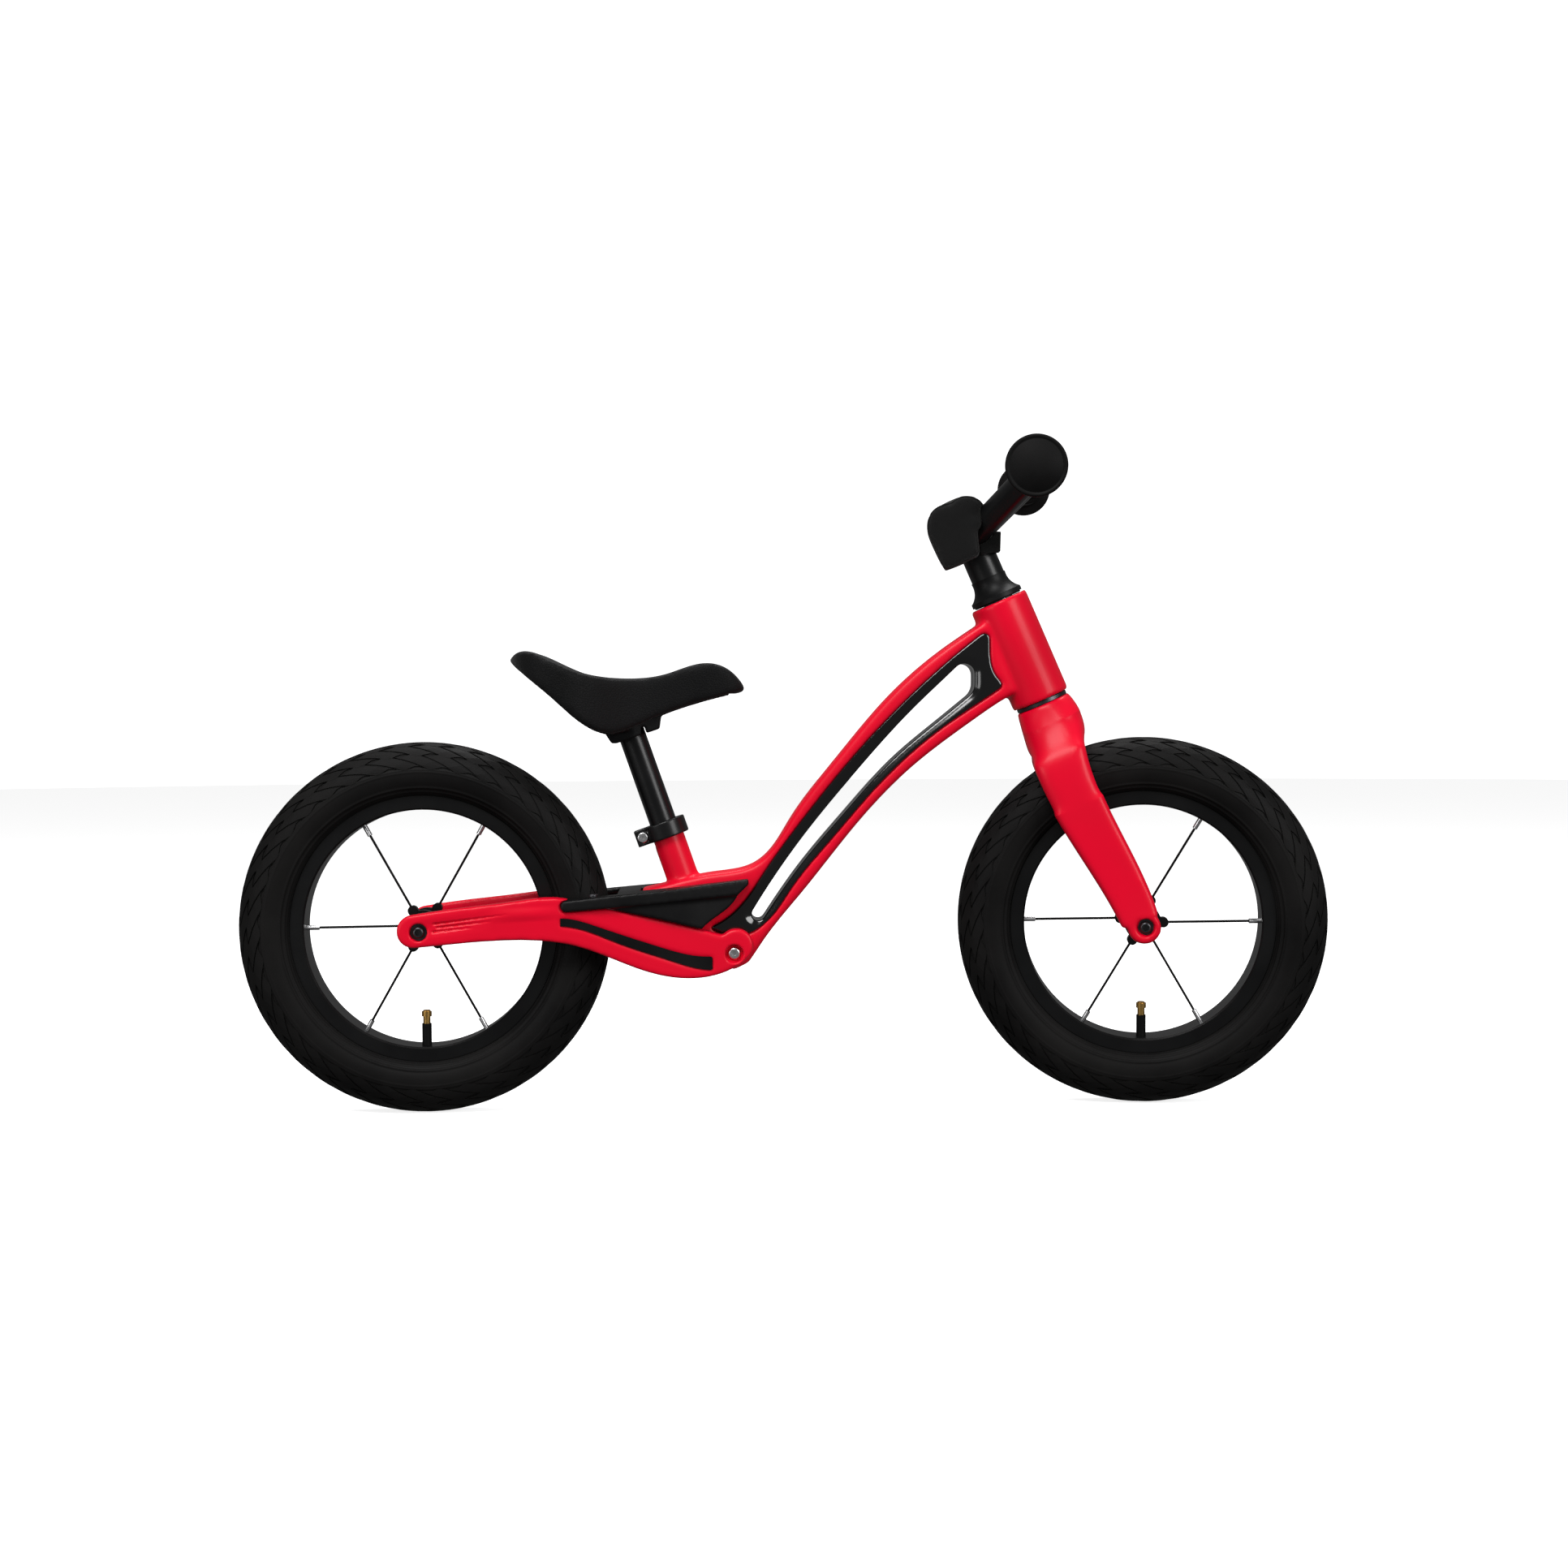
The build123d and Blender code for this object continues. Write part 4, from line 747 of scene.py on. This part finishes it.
steerAxis = Vector(joints["steering"]["axis"]).normalized()
if steerAxis.z < 0:
    steerAxis.negate()
barTurn = radians(-6.8)
barSide = Matrix.Rotation(barTurn, 3, steerAxis) @ Vector((0, 1, 0))
barAhead = barSide.cross(steerAxis).normalized()


def spanAlong(node, direction):
    reach = [direction.dot(vert.co) for vert in nodes[node].data.vertices]
    return min(reach), max(reach)


def seamLine(piece, name, across, thick, finish, body):
    # a corded seam where a plane across the bars cuts the cover
    bm = bmesh.new()
    bm.from_mesh(piece.data)
    bmesh.ops.bisect_plane(
        bm, geom=bm.verts[:] + bm.edges[:] + bm.faces[:], plane_co=barSide * across, plane_no=barSide,
        clear_inner=True, clear_outer=True)
    bm.verts.ensure_lookup_table()
    loop = [bm.verts[0]]
    before = None
    while True:
        ways = [e.other_vert(loop[-1]) for e in loop[-1].link_edges]
        ahead = [v for v in ways if v is not before]
        if not ahead or ahead[0] is loop[0]:
            break
        before = loop[-1]
        loop.append(ahead[0])
    line = bpy.data.curves.new(name, "CURVE")
    line.dimensions = "3D"
    line.bevel_depth = thick
    line.bevel_resolution = 2
    run = line.splines.new("POLY")
    run.points.add(len(loop) - 1)
    for point, vert in zip(run.points, loop):
        point.co = (*vert.co, 1)
    run.use_cyclic_u = True
    bm.free()
    holder = bpy.data.objects.new(name, line)
    bpy.context.scene.collection.objects.link(holder)
    bpy.context.view_layer.update()
    made = bpy.data.meshes.new_from_object(holder.evaluated_get(bpy.context.evaluated_depsgraph_get()))
    bpy.data.objects.remove(holder)
    cord = bmesh.new()
    cord.from_mesh(made)
    bmesh.ops.recalc_face_normals(cord, faces=cord.faces)
    return newPiece(name, cord, finish, body)


padSeams = {"inset": 0.0022, "thick": 0.0008}
low, high = spanAlong("bar_pad", barSide)
for side, across in (("right", low + padSeams["inset"]), ("left", high - padSeams["inset"])):
    seamLine(padPiece, f"bar_pad_seam_{side}", across, padSeams["thick"], "strapCloth", "steering")
print("pad seams made")


# grips: ribbed rubber with a safety disc at the outer end

gripForm = {
    "flange": 0.0233, "body": 0.0152, "rib": 0.0005, "ribs": 11, "flangeThick": 0.0055,
    "collar": 0.0166, "collarLong": 0.004, "ringAt": 0.87, "ringWidth": 0.0016, "ringDeep": 0.0009,
    "round": 0.0014, "turns": 96,
}


def makeGrip(side):
    node = f"grip_{side}"
    low, high = spanAlong(node, barSide)
    ahead, up = spanAlong(node, barAhead), spanAlong(node, steerAxis)
    centre = barAhead * (sum(ahead) / 2) + steerAxis * (sum(up) / 2)
    outward = 1 if side == "left" else -1
    inner, outer = (low, high) if outward > 0 else (-high, -low)
    form = gripForm
    ring = form["flange"] * form["ringAt"]
    back = outer - form["flangeThick"]
    outline = [(outer, 0.0), (outer, ring - form["ringWidth"])]
    outline += [(outer - form["ringDeep"], ring - form["ringWidth"] * 0.5), (outer - form["ringDeep"], ring)]
    outline += [(outer, ring + form["ringWidth"] * 0.5)]
    for step in range(7):
        turn = pi / 2 * step / 6
        outline.append((outer - form["round"] * (1 - cos(turn)), form["flange"] - form["round"] * (1 - sin(turn))))
    for step in range(7):
        turn = pi / 2 * step / 6
        outline.append((back + form["round"] * (1 - sin(turn)), form["flange"] - form["round"] * (1 - cos(turn))))
    outline.append((back, form["body"] + 0.0015))
    outline.append((back - 0.0006, form["body"] + 0.0004))
    start, end = back - 0.002, inner + form["collarLong"] + 0.002
    steps = form["ribs"] * 8
    for step in range(steps + 1):
        rise = form["rib"] * abs(sin(pi * form["ribs"] * step / steps)) ** 0.6
        outline.append((start + (end - start) * step / steps, form["body"] - form["rib"] + rise))
    outline += [(inner + form["collarLong"], form["collar"] - 0.0006), (inner + form["collarLong"] - 0.0006, form["collar"])]
    outline += [(inner + 0.0006, form["collar"]), (inner, form["collar"] - 0.0006), (inner, 0.0114)]
    outline += [(outer - 0.003, 0.0114), (outer - 0.003, 0.0)]
    bm = bmesh.new()
    section = [bm.verts.new((radius, 0, place)) for place, radius in outline]
    edges = [bm.edges.new(pair) for pair in zip(section, section[1:])]
    bmesh.ops.spin(
        bm, geom=section + edges, cent=(0, 0, 0), axis=(0, 0, 1), angle=2 * pi, steps=form["turns"], use_merge=True)
    bmesh.ops.remove_doubles(bm, verts=bm.verts, dist=0.00001)
    bmesh.ops.recalc_face_normals(bm, faces=bm.faces)
    outwards = barSide * outward
    turn = Matrix((barAhead, outwards.cross(barAhead), outwards)).transposed().to_4x4()
    bmesh.ops.transform(bm, matrix=Matrix.Translation(centre) @ turn, verts=bm.verts)
    piece = newPiece(f"{node}_ribbed", bm, "gripRubber", "steering")
    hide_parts(node)


for side in ("left", "right"):
    makeGrip(side)
print("grips made")
